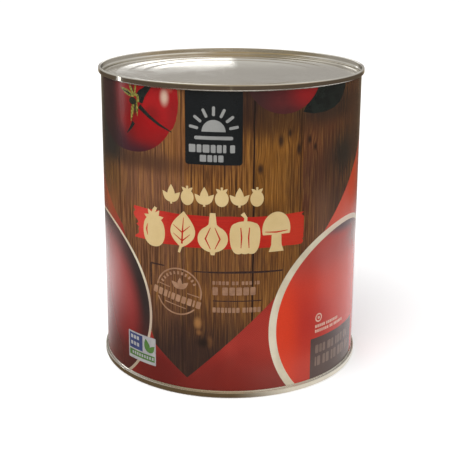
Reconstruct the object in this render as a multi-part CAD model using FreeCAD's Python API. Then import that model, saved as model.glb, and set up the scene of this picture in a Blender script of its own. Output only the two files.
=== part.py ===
"""Tin of tomato sauce: a catering tin of the 603 x 700 size, shut, full and wrapped in a paper label.

It is a three-piece tin. A rolled body is closed at each end by a countersunk tinplate end, and each
end is joined to the body by a double seam: the end's rim folds under the body's rim and the two
hooks lock into each other. The label is one strip of paper glued round the body, with its lap at
the back.

Frame: the origin is the centre of the base, on the surface the tin stands on. +Z is up along the
tin's axis and the middle of the label's front faces -Y. Sizes are in millimetres.
"""
import FreeCAD, Part
import math
import os

from FreeCAD import Vector

# Overall sizes of the tin
CAN_HEIGHT = 177.8          # over both double seams, 7 in
SEAM_DIAMETER = 157.2       # over the double seam, 6 3/16 in

# Sheet metal
BODY_PLATE = 0.25           # tinplate of the body
END_PLATE = 0.30            # tinplate of the ends
PLATE_GAP = 0.06            # sealing compound and play between two plates that lie together

# Double seam
SEAM_HEIGHT = 3.15
SEAM_TOP_BEND = 0.55        # bend over the top of the seam, to the middle of the plate
HOOK_ROOM = 0.45            # space left beyond the tip of each hook
FLARE = 0.60                # how far the wall opens outward to enter the seam
FLARE_RISE = 0.85
FLARE_BEND = 0.70
FLARE_BELOW_SEAM = 0.25     # the wall starts to open this far short of the seam

# End panel
COUNTERSINK = 5.40          # from the top of the seam down to the floor of the groove
GROOVE_BEND = 0.60          # bends of the groove at the foot of the chuck wall, to mid plate
PANEL_RISE = 1.40           # from the groove up to the panel's outer ring
PANEL_BEND = 0.50
RING_COUNT = 3              # expansion rings, each a small step down towards the middle
RING_WIDTH = 8.0
RING_STEP = 0.45
RING_RUN = 6.00             # width of the slope of one step
RING_BEND = 24.0
DISH_DEPTH = 1.30           # how far the middle of the panel is drawn down by the vacuum inside

# Beads rolled into the body, in clusters, with the crests left at the body's own diameter
BEAD_CLUSTERS = 2
BEADS_IN_CLUSTER = 5
BEAD_PITCH = 7.5
BEAD_WIDTH = 5.0
BEAD_DEPTH = 0.45
BEAD_BEND = 3.0
CLUSTER_SPACING = 74.0

# Paper label
LABEL_PAPER = 0.12
LABEL_GLUE = 0.02           # between the paper and the body
LABEL_MARGIN = 0.55         # bare wall between the label and each seam
LABEL_LAP = 12.0            # length of the glued lap, along the wrap
LAP_RAMP = 2.5              # length over which the outer layer climbs onto the inner one

DISH_SHARE = 0.95           # how much of the centre panel is curved; the rest runs on straight
TINY = 1e-6                 # shorter runs than this are left out


def seam_layout():
    """Return the radii and heights that the end, the body and the label share."""
    layer = END_PLATE + BODY_PLATE + 2 * PLATE_GAP
    seaming_wall = SEAM_DIAMETER / 2 - END_PLATE / 2
    chuck_wall = seaming_wall - 2 * layer
    plug_wall = chuck_wall - FLARE
    body_inside = END_PLATE / 2 + PLATE_GAP
    body_outside = body_inside + BODY_PLATE
    seam_foot = CAN_HEIGHT - SEAM_HEIGHT
    seam_top = CAN_HEIGHT - END_PLATE / 2
    loop = seam_foot + END_PLATE / 2
    return {
        "layer": layer,
        "seaming_wall": seaming_wall,
        "end_hook": seaming_wall - layer,
        "chuck_wall": chuck_wall,
        "plug_wall": plug_wall,
        "body_inside": body_inside,
        "body_outside": body_outside,
        "body_radius": plug_wall + body_outside,
        "seam_foot": seam_foot,
        "seam_top": seam_top,
        "loop": loop,
        "flare_top": seam_foot - FLARE_BELOW_SEAM + FLARE_RISE,
        "flare_foot": seam_foot - FLARE_BELOW_SEAM,
        "groove": CAN_HEIGHT - COUNTERSINK - END_PLATE / 2,
        "body_hook_tip": loop + END_PLATE / 2 + HOOK_ROOM,
        "end_hook_tip": seam_top - body_outside - HOOK_ROOM,
    }


def unit(start, end):
    """Return the direction from one (radius, height) point to another."""
    length = math.hypot(end[0] - start[0], end[1] - start[1])
    return ((end[0] - start[0]) / length, (end[1] - start[1]) / length)


def section_point(radius, height):
    """Return a point of the section, which lies in the XZ plane."""
    return Vector(radius, 0, height)


def run_beside(corners, distance):
    """Return the edges of a folded path, moved sideways to the right of its travel.

    Each corner is (radius, height, bend). The path is straight between its corners and turns at
    each inner one with an arc of that bend, so a sheet's two faces are the same path moved half a
    plate to either side, with all their arcs about the same centres.
    """
    edges = []
    here = None
    for index, (radius, height, bend) in enumerate(corners):
        before = unit(corners[index - 1], corners[index]) if index > 0 else None
        after = unit(corners[index], corners[index + 1]) if index + 1 < len(corners) else None
        if before is None or after is None:
            way = after or before
            arrive = section_point(radius + way[1] * distance, height - way[0] * distance)
            leave = arrive
            middle = None
        else:
            turn = math.atan2(before[0] * after[1] - before[1] * after[0],
                              before[0] * after[0] + before[1] * after[1])
            side = math.copysign(1, turn)
            reach = bend * math.tan(abs(turn) / 2)
            centre = (radius - before[0] * reach - before[1] * bend * side,
                      height - before[1] * reach + before[0] * bend * side)
            moved = bend + side * distance
            outward = unit(centre, (radius, height))
            arrive = section_point(centre[0] + before[1] * moved * side,
                                   centre[1] - before[0] * moved * side)
            middle = section_point(centre[0] + outward[0] * moved, centre[1] + outward[1] * moved)
            leave = section_point(centre[0] + after[1] * moved * side,
                                  centre[1] - after[0] * moved * side)
        if here is not None and here.distanceToPoint(arrive) > TINY:
            edges.append(Part.makeLine(here, arrive))
        if middle is not None:
            edges.append(Part.Arc(arrive, middle, leave).toShape())
        here = leave
    return edges


def path_ends(edges):
    """Return the two end points of a run of edges laid head to tail."""
    return edges[0].valueAt(edges[0].FirstParameter), edges[-1].valueAt(edges[-1].LastParameter)


def revolved(edges):
    """Return the solid that a closed outline sweeps round the tin's axis."""
    face = Part.Face(Part.Wire(Part.__sortEdges__(edges)))
    return face.revolve(Vector(0, 0, 0), Vector(0, 0, 1), 360)


def upside_down(corners):
    """Return a path mirrored about the tin's mid height and walked the other way."""
    return [(radius, CAN_HEIGHT - height, bend) for radius, height, bend in reversed(corners)]


def panel_corners(seam):
    """Return the end panel's path from the axis out to the top of the plug wall's groove."""
    edge = seam["plug_wall"] - 2 * GROOVE_BEND
    plateau = seam["groove"] + PANEL_RISE
    centre_radius = edge - RING_COUNT * RING_WIDTH - RING_RUN
    centre_height = plateau - RING_COUNT * RING_STEP
    half_slope = math.atan2(DISH_DEPTH, centre_radius / 2) / 2
    dish_bend = DISH_SHARE * centre_radius / 2 / math.tan(half_slope)
    corners = [
        (0, centre_height - DISH_DEPTH, 0),
        (centre_radius / 2, centre_height - DISH_DEPTH, dish_bend),
    ]
    for ring in range(RING_COUNT, 0, -1):
        radius = edge - ring * RING_WIDTH
        height = plateau - ring * RING_STEP
        corners.append((radius - RING_RUN, height, RING_BEND))
        corners.append((radius, height + RING_STEP, RING_BEND))
    corners.append((edge, plateau, PANEL_BEND))
    corners.append((edge, seam["groove"], GROOVE_BEND))
    corners.append((seam["plug_wall"], seam["groove"], GROOVE_BEND))
    return corners


def seam_rise_corners(seam):
    """Return the path from the plug wall, out through the flare and over the top of the seam."""
    return [
        (seam["plug_wall"], seam["flare_foot"], FLARE_BEND),
        (seam["chuck_wall"], seam["flare_top"], FLARE_BEND / 2),
        (seam["chuck_wall"], seam["seam_top"], SEAM_TOP_BEND),
        (seam["seaming_wall"], seam["seam_top"], SEAM_TOP_BEND),
    ]


def bead_corners(seam):
    """Return the path of the rolled beads up the body, as corners at mid plate of the plug wall."""
    corners = []
    first_cluster = CAN_HEIGHT / 2 - CLUSTER_SPACING * (BEAD_CLUSTERS - 1) / 2
    for cluster in range(BEAD_CLUSTERS):
        middle = first_cluster + cluster * CLUSTER_SPACING
        for bead in range(BEADS_IN_CLUSTER):
            height = middle + (bead - (BEADS_IN_CLUSTER - 1) / 2) * BEAD_PITCH
            corners.append((seam["plug_wall"], height - BEAD_WIDTH / 2, BEAD_BEND))
            corners.append((seam["plug_wall"] - BEAD_DEPTH, height, BEAD_BEND))
            corners.append((seam["plug_wall"], height + BEAD_WIDTH / 2, BEAD_BEND))
    return corners


def make_end(seam):
    """Make the top end: panel, rings, groove, chuck wall, seam and the hook folded back inside."""
    path = panel_corners(seam) + seam_rise_corners(seam)
    loop_bend = seam["layer"] / 2
    path.append((seam["seaming_wall"], seam["loop"], loop_bend))
    path.append((seam["end_hook"], seam["loop"], loop_bend))
    path.append((seam["end_hook"], seam["end_hook_tip"], 0))
    upper = run_beside(path, -END_PLATE / 2)
    lower = run_beside(path, END_PLATE / 2)
    upper_start, upper_end = path_ends(upper)
    lower_start, lower_end = path_ends(lower)
    closing = [Part.makeLine(upper_start, lower_start), Part.makeLine(upper_end, lower_end)]
    return revolved(upper + lower + closing)


def make_body(seam):
    """Make the filled body: wall, beads and body hooks, solid up to the underside of both ends.

    The faces that lie against an end are that end's own path, moved over by half its plate and
    the play between the plates, so the body fits whatever shape the end is given.
    """
    tip = (seam["seaming_wall"], seam["body_hook_tip"], 0)
    rise = seam_rise_corners(seam) + [tip]
    under_top = run_beside(panel_corners(seam) + rise, seam["body_inside"])
    over_base = run_beside(upside_down(panel_corners(seam) + rise), seam["body_inside"])
    outside = run_beside(upside_down(rise) + bead_corners(seam) + rise, seam["body_outside"])
    top_axis, top_tip = path_ends(under_top)
    base_tip, base_axis = path_ends(over_base)
    low_end, high_end = path_ends(outside)
    closing = [
        Part.makeLine(base_axis, top_axis),
        Part.makeLine(top_tip, high_end),
        Part.makeLine(base_tip, low_end),
    ]
    return revolved(under_top + over_base + outside + closing)


def ring_point(radius, angle):
    """Return a point of the label's plan; angles are in radians from the back, +Y."""
    return Vector(-radius * math.sin(angle), radius * math.cos(angle), 0)


def ring_arc(radius_from, radius_to, angle_from, angle_to):
    """Return an arc of the label's plan that may climb a little from one end to the other."""
    middle = ring_point((radius_from + radius_to) / 2, (angle_from + angle_to) / 2)
    arc = Part.Arc(ring_point(radius_from, angle_from), middle, ring_point(radius_to, angle_to))
    return arc.toShape()


def make_label(seam):
    """Make the label: one thickness of paper all round, and two where it laps at the back."""
    inner = seam["body_radius"] + LABEL_GLUE
    outer = inner + LABEL_PAPER
    lapped = outer + LABEL_PAPER
    half_lap = LABEL_LAP / 2 / outer
    ramp = LAP_RAMP / outer
    outline = Part.Wire([
        ring_arc(outer, outer, half_lap, math.pi),
        ring_arc(outer, outer, math.pi, 2 * math.pi - half_lap - ramp),
        ring_arc(outer, lapped, 2 * math.pi - half_lap - ramp, 2 * math.pi - half_lap),
        ring_arc(lapped, lapped, -half_lap, half_lap),
        Part.makeLine(ring_point(lapped, half_lap), ring_point(outer, half_lap)),
    ])
    low = SEAM_HEIGHT + LABEL_MARGIN
    high = CAN_HEIGHT - low
    sleeve = Part.Face(outline).extrude(Vector(0, 0, high - low))
    core = Part.makeCylinder(inner, high - low)
    label = sleeve.cut(core)
    label.translate(Vector(0, 0, low))
    return label


def main():
    seam = seam_layout()
    top_end = make_end(seam)
    parts = {
        "can_body": make_body(seam),
        "top_end": top_end,
        "bottom_end": top_end.mirror(Vector(0, 0, CAN_HEIGHT / 2), Vector(0, 0, 1)),
        "label": make_label(seam),
    }
    os.makedirs("parts", exist_ok=True)
    for name, shape in parts.items():
        shape.exportStep("parts/" + name + ".step")
        box = shape.optimalBoundingBox()
        print(name, shape.isValid(), len(shape.Solids), round(shape.Volume / 1000, 2), "cm3",
              [round(v, 2) for v in (box.XMin, box.XMax, box.YMin, box.YMax, box.ZMin, box.ZMax)])
    hooks = seam["end_hook_tip"] - seam["body_hook_tip"]
    print("body radius", round(seam["body_radius"], 2), "hooks overlap by", round(hooks, 2))


main()
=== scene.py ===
# %% [markdown]
# # A large tin of tomato sauce
#
# This lesson dresses a catering tin: a rolled steel body, two pressed ends that are double-seamed
# onto it, and a varnished paper label that goes all the way round. The solids of the tin come from
# a CAD model, loaded below as a fixed frame. Nothing in the frame is moved. The lesson adds what
# the eye reads first: bright tinplate, and print on paper.
#
# The print is drawn as fields of colour. Each field is a thin piece of paper of its own, cut like
# inlay so that no two lie on top of each other, and its material is worked out by nodes.

# %% Load the frame
import math
import random

import bpy
import numpy as np
from mathutils import Matrix, Vector
from mathutils.geometry import delaunay_2d_cdt


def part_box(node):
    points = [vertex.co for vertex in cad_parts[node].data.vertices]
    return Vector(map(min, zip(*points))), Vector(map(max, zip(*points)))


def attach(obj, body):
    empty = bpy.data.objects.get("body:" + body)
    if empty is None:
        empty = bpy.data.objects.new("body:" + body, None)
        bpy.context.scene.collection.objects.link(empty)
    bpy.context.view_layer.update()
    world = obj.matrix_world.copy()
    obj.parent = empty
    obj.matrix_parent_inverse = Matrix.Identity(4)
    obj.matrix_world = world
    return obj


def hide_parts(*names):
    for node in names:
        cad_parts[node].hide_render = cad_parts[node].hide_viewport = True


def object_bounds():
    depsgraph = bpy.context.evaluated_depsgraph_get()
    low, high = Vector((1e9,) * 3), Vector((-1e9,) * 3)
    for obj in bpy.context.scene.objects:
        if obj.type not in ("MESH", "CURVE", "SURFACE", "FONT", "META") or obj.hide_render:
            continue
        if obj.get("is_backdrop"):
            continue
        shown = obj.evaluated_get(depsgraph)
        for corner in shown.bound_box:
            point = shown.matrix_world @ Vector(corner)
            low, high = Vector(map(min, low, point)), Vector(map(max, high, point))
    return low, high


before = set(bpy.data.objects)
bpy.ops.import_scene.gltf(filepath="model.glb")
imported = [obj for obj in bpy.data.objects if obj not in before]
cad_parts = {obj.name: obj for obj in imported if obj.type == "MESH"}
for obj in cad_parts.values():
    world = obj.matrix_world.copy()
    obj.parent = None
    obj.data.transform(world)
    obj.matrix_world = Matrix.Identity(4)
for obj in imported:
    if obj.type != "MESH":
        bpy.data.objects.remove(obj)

cad_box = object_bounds()
MM = 0.001


def placed(thing):
    """Put a new object into the scene, and return it."""
    bpy.context.scene.collection.objects.link(thing)
    return thing


print("nodes", sorted(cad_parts))

# %% [markdown]
# ## Sizes taken from the frame
#
# Every place on the tin follows from two boxes. That of the top end gives the tin's height and its
# width over the seam, and the other is the label's. Thicknesses are not written in a box, so the
# plates, the play between them, the paper and its lap are named here. The tin's sizes are in
# millimetres, and `MM` turns them into Blender's metres at the very end. Camera, floor and lamps
# are given in metres.

# %% Read the tin's sizes
_, end_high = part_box("top_end")
label_low, label_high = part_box("label")

TIN_HEIGHT = end_high.z / MM
SEAM_RADIUS = end_high.x / MM
LABEL_FOOT = label_low.z / MM
LABEL_TOP = label_high.z / MM
LABEL_RADIUS = label_high.x / MM
PAPER = 0.12
END_PLATE = 0.30
BODY_PLATE = 0.25
PLATE_GAP = 0.06
LABEL_LAP = 12.0
LAP_RAMP = 2.5
HALF_WRAP = math.pi * LABEL_RADIUS

print("tin", round(TIN_HEIGHT, 1), "mm tall,", round(2 * SEAM_RADIUS, 1), "mm over the seam")
print("label from", round(LABEL_FOOT, 2), "to", round(LABEL_TOP, 2), "mm, wrap", round(2 * HALF_WRAP, 1))

# %% [markdown]
# ## The camera
#
# A camera is easiest to place the way one would say it aloud: how far away, how high, how far it
# is turned, tipped down and leant to the side. From those five numbers the three axes of the camera
# follow, and they become the columns of its matrix. The lens is shifted a little, which keeps the
# tin in the frame without tipping the camera further.

# %% Place the camera
CAMERA_DISTANCE = 0.5737
CAMERA_HEIGHT = 0.2574
CAMERA_TIP = math.radians(14.95)
CAMERA_TURN = math.radians(-0.04)
CAMERA_LEAN = math.radians(0.33)
FILM_WIDTH = 36
LENS_LENGTH = 75.7
LENS_SHIFT = -0.101
NEAREST_SEEN = 0.01

camera_data = bpy.data.cameras.new("camera")
camera_data.sensor_width = FILM_WIDTH
camera_data.lens = LENS_LENGTH
camera_data.shift_y = LENS_SHIFT
camera_data.clip_start = NEAREST_SEEN
camera = placed(bpy.data.objects.new("camera", camera_data))

forward = Vector((math.sin(CAMERA_TURN) * math.cos(CAMERA_TIP),
                  math.cos(CAMERA_TURN) * math.cos(CAMERA_TIP),
                  -math.sin(CAMERA_TIP)))
level_right = Vector((math.cos(CAMERA_TURN), -math.sin(CAMERA_TURN), 0))
level_up = level_right.cross(forward)
lean_right = math.cos(CAMERA_LEAN) * level_right + math.sin(CAMERA_LEAN) * level_up
lean_up = math.cos(CAMERA_LEAN) * level_up - math.sin(CAMERA_LEAN) * level_right
axes = Matrix((lean_right, lean_up, -forward)).transposed()
camera.matrix_world = Matrix.Translation((0, -CAMERA_DISTANCE, CAMERA_HEIGHT)) @ axes.to_4x4()
bpy.context.scene.camera = camera
print("camera at", [round(v, 3) for v in camera.location])

# %% [markdown]
# ## Short calls for nodes
#
# A material in nodes is a recipe: take the place on the surface, make a pattern from it, mix
# colours by the pattern. Written out in full each step is four lines, so a small helper keeps the
# recipes short enough to read. Numbers go straight onto a socket, and other sockets are linked.

# %% Make a helper for node recipes
class Recipe:
    """A node tree under construction, with one short call for each kind of step."""

    def __init__(self, tree):
        self.tree = tree
        self.column = 0

    def node(self, kind, inputs=(), **settings):
        """Add a node, set its settings, then give its inputs as {name or index: value or socket}."""
        made = self.tree.nodes.new(kind)
        made.location = (self.column, 0)
        self.column += 180
        for name, value in settings.items():
            setattr(made, name, value)
        for name, value in dict(inputs).items():
            self.feed(made.inputs[name], value)
        return made

    def feed(self, socket, value):
        """Link an input to a socket, or write a number, a vector or an sRGB triple on it."""
        if isinstance(value, bpy.types.NodeSocket):
            self.tree.links.new(value, socket)
        elif socket.type == "RGBA":
            socket.default_value = ink(value)
        else:
            socket.default_value = value

    def math(self, operation, first, second=0.0, clamp=False):
        made = self.node("ShaderNodeMath", {0: first, 1: second}, operation=operation, use_clamp=clamp)
        return made.outputs[0]

    def vector(self, operation, first, second=(0.0, 0.0, 0.0)):
        """Vector arithmetic; a length and a dot product come out as a value."""
        second_input = "Scale" if operation == "SCALE" else 1
        made = self.node("ShaderNodeVectorMath", {0: first, second_input: second}, operation=operation)
        return made.outputs["Value" if operation in ("LENGTH", "DOT_PRODUCT") else "Vector"]

    def mix(self, amount, first, second):
        """Mix two colours, each an sRGB triple or a socket. Inputs 0, 6 and 7 are those for colour."""
        made = self.node("ShaderNodeMix", data_type="RGBA", clamp_result=True)
        for index, value in ((0, amount), (6, first), (7, second)):
            self.feed(made.inputs[index], value)
        return made.outputs[2]

    def steps(self, value, low, high, bottom=0.0, top=1.0, smooth=True):
        """Turn a value that runs from low to high into one that runs from bottom to top."""
        made = self.node("ShaderNodeMapRange", {0: value, 1: low, 2: high, 3: bottom, 4: top})
        made.interpolation_type = "SMOOTHSTEP" if smooth else "LINEAR"
        return made.outputs[0]

    def group(self, tree, **inputs):
        return self.node("ShaderNodeGroup", inputs, node_tree=tree)

    def noise(self, place, scale, detail=3.0, rough=0.55, stretch=None, warp=0.0):
        """Fractal noise; stretch is (along, across, deep) and draws the pattern out."""
        if stretch is not None:
            place = self.vector("MULTIPLY", place, stretch)
        made = self.node("ShaderNodeTexNoise", {"Vector": place, "Scale": scale, "Detail": detail,
                                                 "Roughness": rough, "Distortion": warp})
        return made.outputs["Fac"]


def ink(colour):
    """Return an sRGB triple of 0 to 255 as the linear colour that a node takes."""
    linear = [((c / 255 + 0.055) / 1.055) ** 2.4 if c > 10 else c / 255 / 12.92 for c in colour]
    return (*linear, 1.0)


def new_group(name, inputs, outputs):
    """Start a shader node group; inputs and outputs are (name, kind, default) and (name, kind)."""
    tree = bpy.data.node_groups.new(name, "ShaderNodeTree")
    for socket_name, kind, default in inputs:
        socket = tree.interface.new_socket(name=socket_name, in_out="INPUT", socket_type=kind)
        if default is not None:
            socket.default_value = default
    for socket_name, kind in outputs:
        tree.interface.new_socket(name=socket_name, in_out="OUTPUT", socket_type=kind)
    given = tree.nodes.new("NodeGroupInput").outputs
    result = tree.nodes.new("NodeGroupOutput").inputs
    return tree, Recipe(tree), given, result


def new_finish(name, **settings):
    """Start a material; constant values go on the Principled shader's own sockets."""
    material = bpy.data.materials.new(name)
    material.use_nodes = True
    shader = material.node_tree.nodes["Principled BSDF"]
    for socket_name, value in settings.items():
        shader.inputs[socket_name.replace("_", " ")].default_value = value
    return material, Recipe(material.node_tree), shader


print("helpers ready")

# %% [markdown]
# ## Where a point of the print lies
#
# The label is printed flat and only then rolled round the tin, so its colours should be worked out
# on the flat sheet. Each piece of paper keeps its flat place as a UV map called `print`, in units
# of 100 mm. This group reads it and gives back millimetres: x runs along the wrap from the middle
# of the front, and y is the height above the base.
#
# `soft spot` is the brush used most: an oval with soft edges, 1 inside and 0 outside.

# %% Build the place and soft spot groups
PRINT_MAP = "print"
PRINT_UNIT = 100.0

place_group, recipe, _, result = new_group("place on the print", [], [("Place", "NodeSocketVector")])
flat_map = recipe.node("ShaderNodeUVMap", uv_map=PRINT_MAP)
recipe.feed(result["Place"], recipe.vector("SCALE", flat_map.outputs[0], PRINT_UNIT))

spot_group, recipe, given, result = new_group(
    "soft spot",
    [("Place", "NodeSocketVector", None), ("Centre", "NodeSocketVector", (0, 0, 0)),
     ("Reach", "NodeSocketVector", (1, 1, 1)), ("Softness", "NodeSocketFloat", 0.3)],
    [("Mask", "NodeSocketFloat")])
in_reach = recipe.vector("DIVIDE", recipe.vector("SUBTRACT", given["Place"], given["Centre"]), given["Reach"])
inner = recipe.math("SUBTRACT", 1.0, given["Softness"])
outer = recipe.math("ADD", 1.0, given["Softness"])
recipe.feed(result["Mask"], recipe.steps(recipe.vector("LENGTH", in_reach), inner, outer, 1.0, 0.0))


def soft_spot(recipe, place, x, z, reach_x, reach_z, softness):
    """Return the mask of one soft oval about (x, z)."""
    spot = recipe.group(spot_group, Place=place, Centre=(x, z, 0.0), Reach=(reach_x, reach_z, 1.0),
                        Softness=softness)
    return spot.outputs["Mask"]


print("groups", [g.name for g in bpy.data.node_groups if g.bl_idname == "ShaderNodeTree"])

# %% [markdown]
# ## Drawing outlines on the flat sheet
#
# The print is designed as a paper cutter would: every field is an outline, and a later field is
# laid over the earlier ones. The outlines are ovals, round-cornered boxes, leaves and ribbons,
# each worked out from a few sizes. A shape may hold more than one outline, and then the overlap is
# a hole, which is how a ring is drawn.

# %% Make the outline helpers
CHORD = 1.2
FEWEST_CHORDS = 16
CORNER_POINTS = 4


def oval(x, z, half_width, half_height=None, lean=0.0, square=2.0):
    """Return an oval; square above 2 swells it towards a box, and lean turns it, in degrees."""
    half_height = half_width if half_height is None else half_height
    count = max(FEWEST_CHORDS, int(2 * math.pi * max(half_width, half_height) / CHORD))
    turn = math.radians(lean)
    outline = []
    for i in range(count):
        angle = 2 * math.pi * i / count
        across = half_width * math.copysign(abs(math.cos(angle)) ** (2 / square), math.cos(angle))
        along = half_height * math.copysign(abs(math.sin(angle)) ** (2 / square), math.sin(angle))
        outline.append((x + across * math.cos(turn) - along * math.sin(turn),
                        z + across * math.sin(turn) + along * math.cos(turn)))
    return outline


def card(left, right, foot, top, corner=0.0):
    """Return a box, with round corners if a corner radius is given."""
    outline = []
    for x, z, quarter in ((right, top, 0), (left, top, 1), (left, foot, 2), (right, foot, 3)):
        inward_x = x - corner if x == right else x + corner
        inward_z = z - corner if z == top else z + corner
        for i in range(CORNER_POINTS if corner else 1):
            angle = math.pi / 2 * (quarter + i / (CORNER_POINTS - 1))
            outline.append((inward_x + corner * math.cos(angle), inward_z + corner * math.sin(angle)))
    return outline


def turned(outline, x, z, degrees):
    """Return an outline turned about a point."""
    turn = math.radians(degrees)
    return [(x + (px - x) * math.cos(turn) - (pz - z) * math.sin(turn),
             z + (px - x) * math.sin(turn) + (pz - z) * math.cos(turn)) for px, pz in outline]


def moved(outlines, x, z):
    """Return outlines moved by x and z."""
    return [[(px + x, pz + z) for px, pz in outline] for outline in outlines]


def leaf(x, z, length, width, lean):
    """Return a pointed leaf that grows from (x, z); lean is in degrees from straight up."""
    count = max(4, int(length / CHORD))
    side = [(width / 2 * math.sin(math.pi * (i / count) ** 0.85), length * i / count)
            for i in range(count + 1)]
    outline = side + [(-across, along) for across, along in reversed(side[1:-1])]
    return turned([(x + across, z + along) for across, along in outline], x, z, -lean)


def ribbon(path, widths):
    """Return a ribbon along a path of points, with a width at each point."""
    left_side, right_side = [], []
    for i, (x, z) in enumerate(path):
        before = path[max(i - 1, 0)]
        after = path[min(i + 1, len(path) - 1)]
        length = math.hypot(after[0] - before[0], after[1] - before[1])
        across = (-(after[1] - before[1]) / length, (after[0] - before[0]) / length)
        half = widths[i] / 2
        left_side.append((x + across[0] * half, z + across[1] * half))
        right_side.append((x - across[0] * half, z - across[1] * half))
    return left_side + right_side[::-1]


BRISTLES = 14
EDGE_STEP = 6
EDGE_WAVER = 0.35


def dry_brush(left, right, foot, top, fray, seed):
    """Return a brush stroke with frayed ends and slightly uneven long edges."""
    dice = random.Random(seed)
    ends = {}
    for end in ("right", "left"):
        reach = 0.5
        ends[end] = []
        for i in range(BRISTLES + 1):
            reach = min(1.0, max(0.0, reach + dice.uniform(-0.6, 0.6)))
            z = foot + (top - foot) * i / BRISTLES
            x = right - fray * reach if end == "right" else left + fray * reach
            ends[end].append((x, z))
    steps = int((right - left - 2 * fray) / EDGE_STEP)
    spacing = (right - left - 2 * fray) / steps
    over = [(right - fray - spacing * i, top + dice.uniform(-EDGE_WAVER, EDGE_WAVER))
            for i in range(steps + 1)]
    under = [(left + fray + spacing * i, foot + dice.uniform(-EDGE_WAVER, EDGE_WAVER))
             for i in range(steps + 1)]
    return ends["right"] + over + ends["left"][::-1] + under


def word_bars(left, foot, top, widths, gap=0.28):
    """Return a row of plain bars where a line of words would stand; a width below 0 is a space.

    Widths and the gap are shares of the row's height.
    """
    height = top - foot
    bars, x = [], left
    for width in widths:
        if width > 0:
            bars.append(card(x, x + width * height, foot, top, corner=height * 0.12))
        x += abs(width) * height + gap * height
    return bars


print("outline helpers ready")

# %% [markdown]
# ## The picture on the label
#
# The front shows a boarded table with two bowls of sauce, and tomatoes at the top. A red cloth
# covers the table on both sides, and the boards left bare come to a point between the bowls. All of
# it is laid out here as flat fields, back to front. Where the label of such a tin carries words and
# marks, plain bars, rings and kitchen-garden shapes stand in the same places, in the same colours.

# %% Lay out the boards, cloth, bowls and tomatoes
SHEET_LEFT = -HALF_WRAP - LABEL_LAP / 2
SHEET_RIGHT = HALF_WRAP + LABEL_LAP / 2

fields = []


def lay(name, *shapes):
    """Lay shapes over what is there; each shape is one outline or a list of outlines."""
    for shape in shapes:
        outlines = shape if isinstance(shape[0], list) else [shape]
        fields.append((name, outlines))


# Shapes that run off the label's top edge end at this height.
OFF_TOP = 176.0
lay("cloth", card(SHEET_LEFT - 1, SHEET_RIGHT + 1, LABEL_FOOT - 1, LABEL_TOP + 1))
lay("boards",
    [(-24.4, 10.0), (21.8, 55.0), (60.6, 94.6), (100.6, 133.8), (143.0, OFF_TOP),
     (-186.0, OFF_TOP), (-100.0, 113.5), (-71.0, 92.0), (-44.4, 26.3)])
lay("board_line",
    ribbon([(-47.0, 62.0), (-47.0, 75.2)], (0.9, 1.1)),
    ribbon([(-47.4, 75.2), (-38.0, 75.2)], (1.0, 0.7)),
    ribbon([(-20.0, 74.2), (5.0, 74.6), (29.5, 74.2)], (0.6, 1.3, 0.9)))

LEFT_BOWL = (-98.5, 43.5)
LEFT_BOWL_RADIUS = 51.6
RIGHT_BOWL = (79.5, 38.3)
RIGHT_BOWL_RADIUS = 57.6
lay("bowl_rim", oval(*LEFT_BOWL, LEFT_BOWL_RADIUS), oval(*RIGHT_BOWL, RIGHT_BOWL_RADIUS))
lay("left_sauce", oval(LEFT_BOWL[0] - 0.2, LEFT_BOWL[1], LEFT_BOWL_RADIUS - 1.5))
lay("right_sauce", oval(RIGHT_BOWL[0] + 1.1, RIGHT_BOWL[1] + 0.2, RIGHT_BOWL_RADIUS - 3.4))

lay("dark_leaf",
    [(48.0, OFF_TOP), (43.5, 167.0), (40.2, 161.8), (47.0, 160.2), (56.0, 160.4), (63.0, 161.8),
     (68.5, 164.4), (72.5, 169.5), (75.0, OFF_TOP)])
lay("top_tomato", oval(29.6, 184.3, 22.8))
lay("lower_tomato", oval(-63.0, 170.4, 33.4, square=2.35))
lay("upper_tomato",
    [(-43.6, OFF_TOP), (-46.6, 170.8), (-49.6, 167.4), (-52.6, 161.3), (-47.0, 158.4), (-40.0, 154.6),
     (-34.0, 151.0), (-31.6, 153.2), (-29.9, 157.2), (-28.9, 162.0), (-28.5, 167.2), (-29.3, OFF_TOP)])
lay("dark_leaf",
    [(-43.5, OFF_TOP), (-46.3, 172.6), (-49.6, 168.6), (-51.4, 164.6), (-54.6, 165.0), (-56.0, 169.2),
     (-54.0, 171.6), (-50.5, 173.4), (-47.8, OFF_TOP)],
    ribbon([(-54.0, 163.0), (-47.0, 158.2), (-40.5, 154.5), (-32.6, 151.0)], (2.8, 2.0, 1.5, 0.5)),
    ribbon([(-58.5, 153.5), (-60.8, 150.4), (-64.5, 146.6)], (2.4, 1.9, 0.4)))
lay("calyx",
    leaf(-57.6, 167.6, 13.0, 3.0, -72), leaf(-58.0, 166.4, 13.2, 2.3, -168),
    leaf(-58.2, 168.2, 9.0, 1.8, -30), leaf(-57.4, 168.4, 8.0, 1.4, 8),
    ribbon([(-60.0, 168.0), (-57.6, 169.4), (-55.0, 168.2), (-54.6, 165.0)], (1.6, 2.2, 2.0, 1.6)),
    leaf(-56.0, 166.0, 9.0, 1.7, 176))
lay("calyx_shade", oval(-59.0, 165.2, 3.0, 2.1), leaf(-56.8, 165.4, 9.0, 1.4, -176),
    leaf(-60.0, 168.6, 8.0, 0.9, -76), leaf(-58.0, 169.0, 7.0, 0.8, -16))
print(len(fields), "fields in the picture")

# %% [markdown]
# The big row on the brush stroke stands where the name of the food would be. It shows five things
# from a kitchen garden, each drawn as a printer's ornament: a plum tomato, a basil leaf, an onion,
# a pepper and a mushroom. A cut of red through each one keeps it from looking like a blot.

# %% Draw the five kitchen-garden ornaments
TITLE_FOOT, TITLE_TOP = 85.5, 108.1
TALL = TITLE_TOP - TITLE_FOOT
SIDES = (-1, 1)


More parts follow.
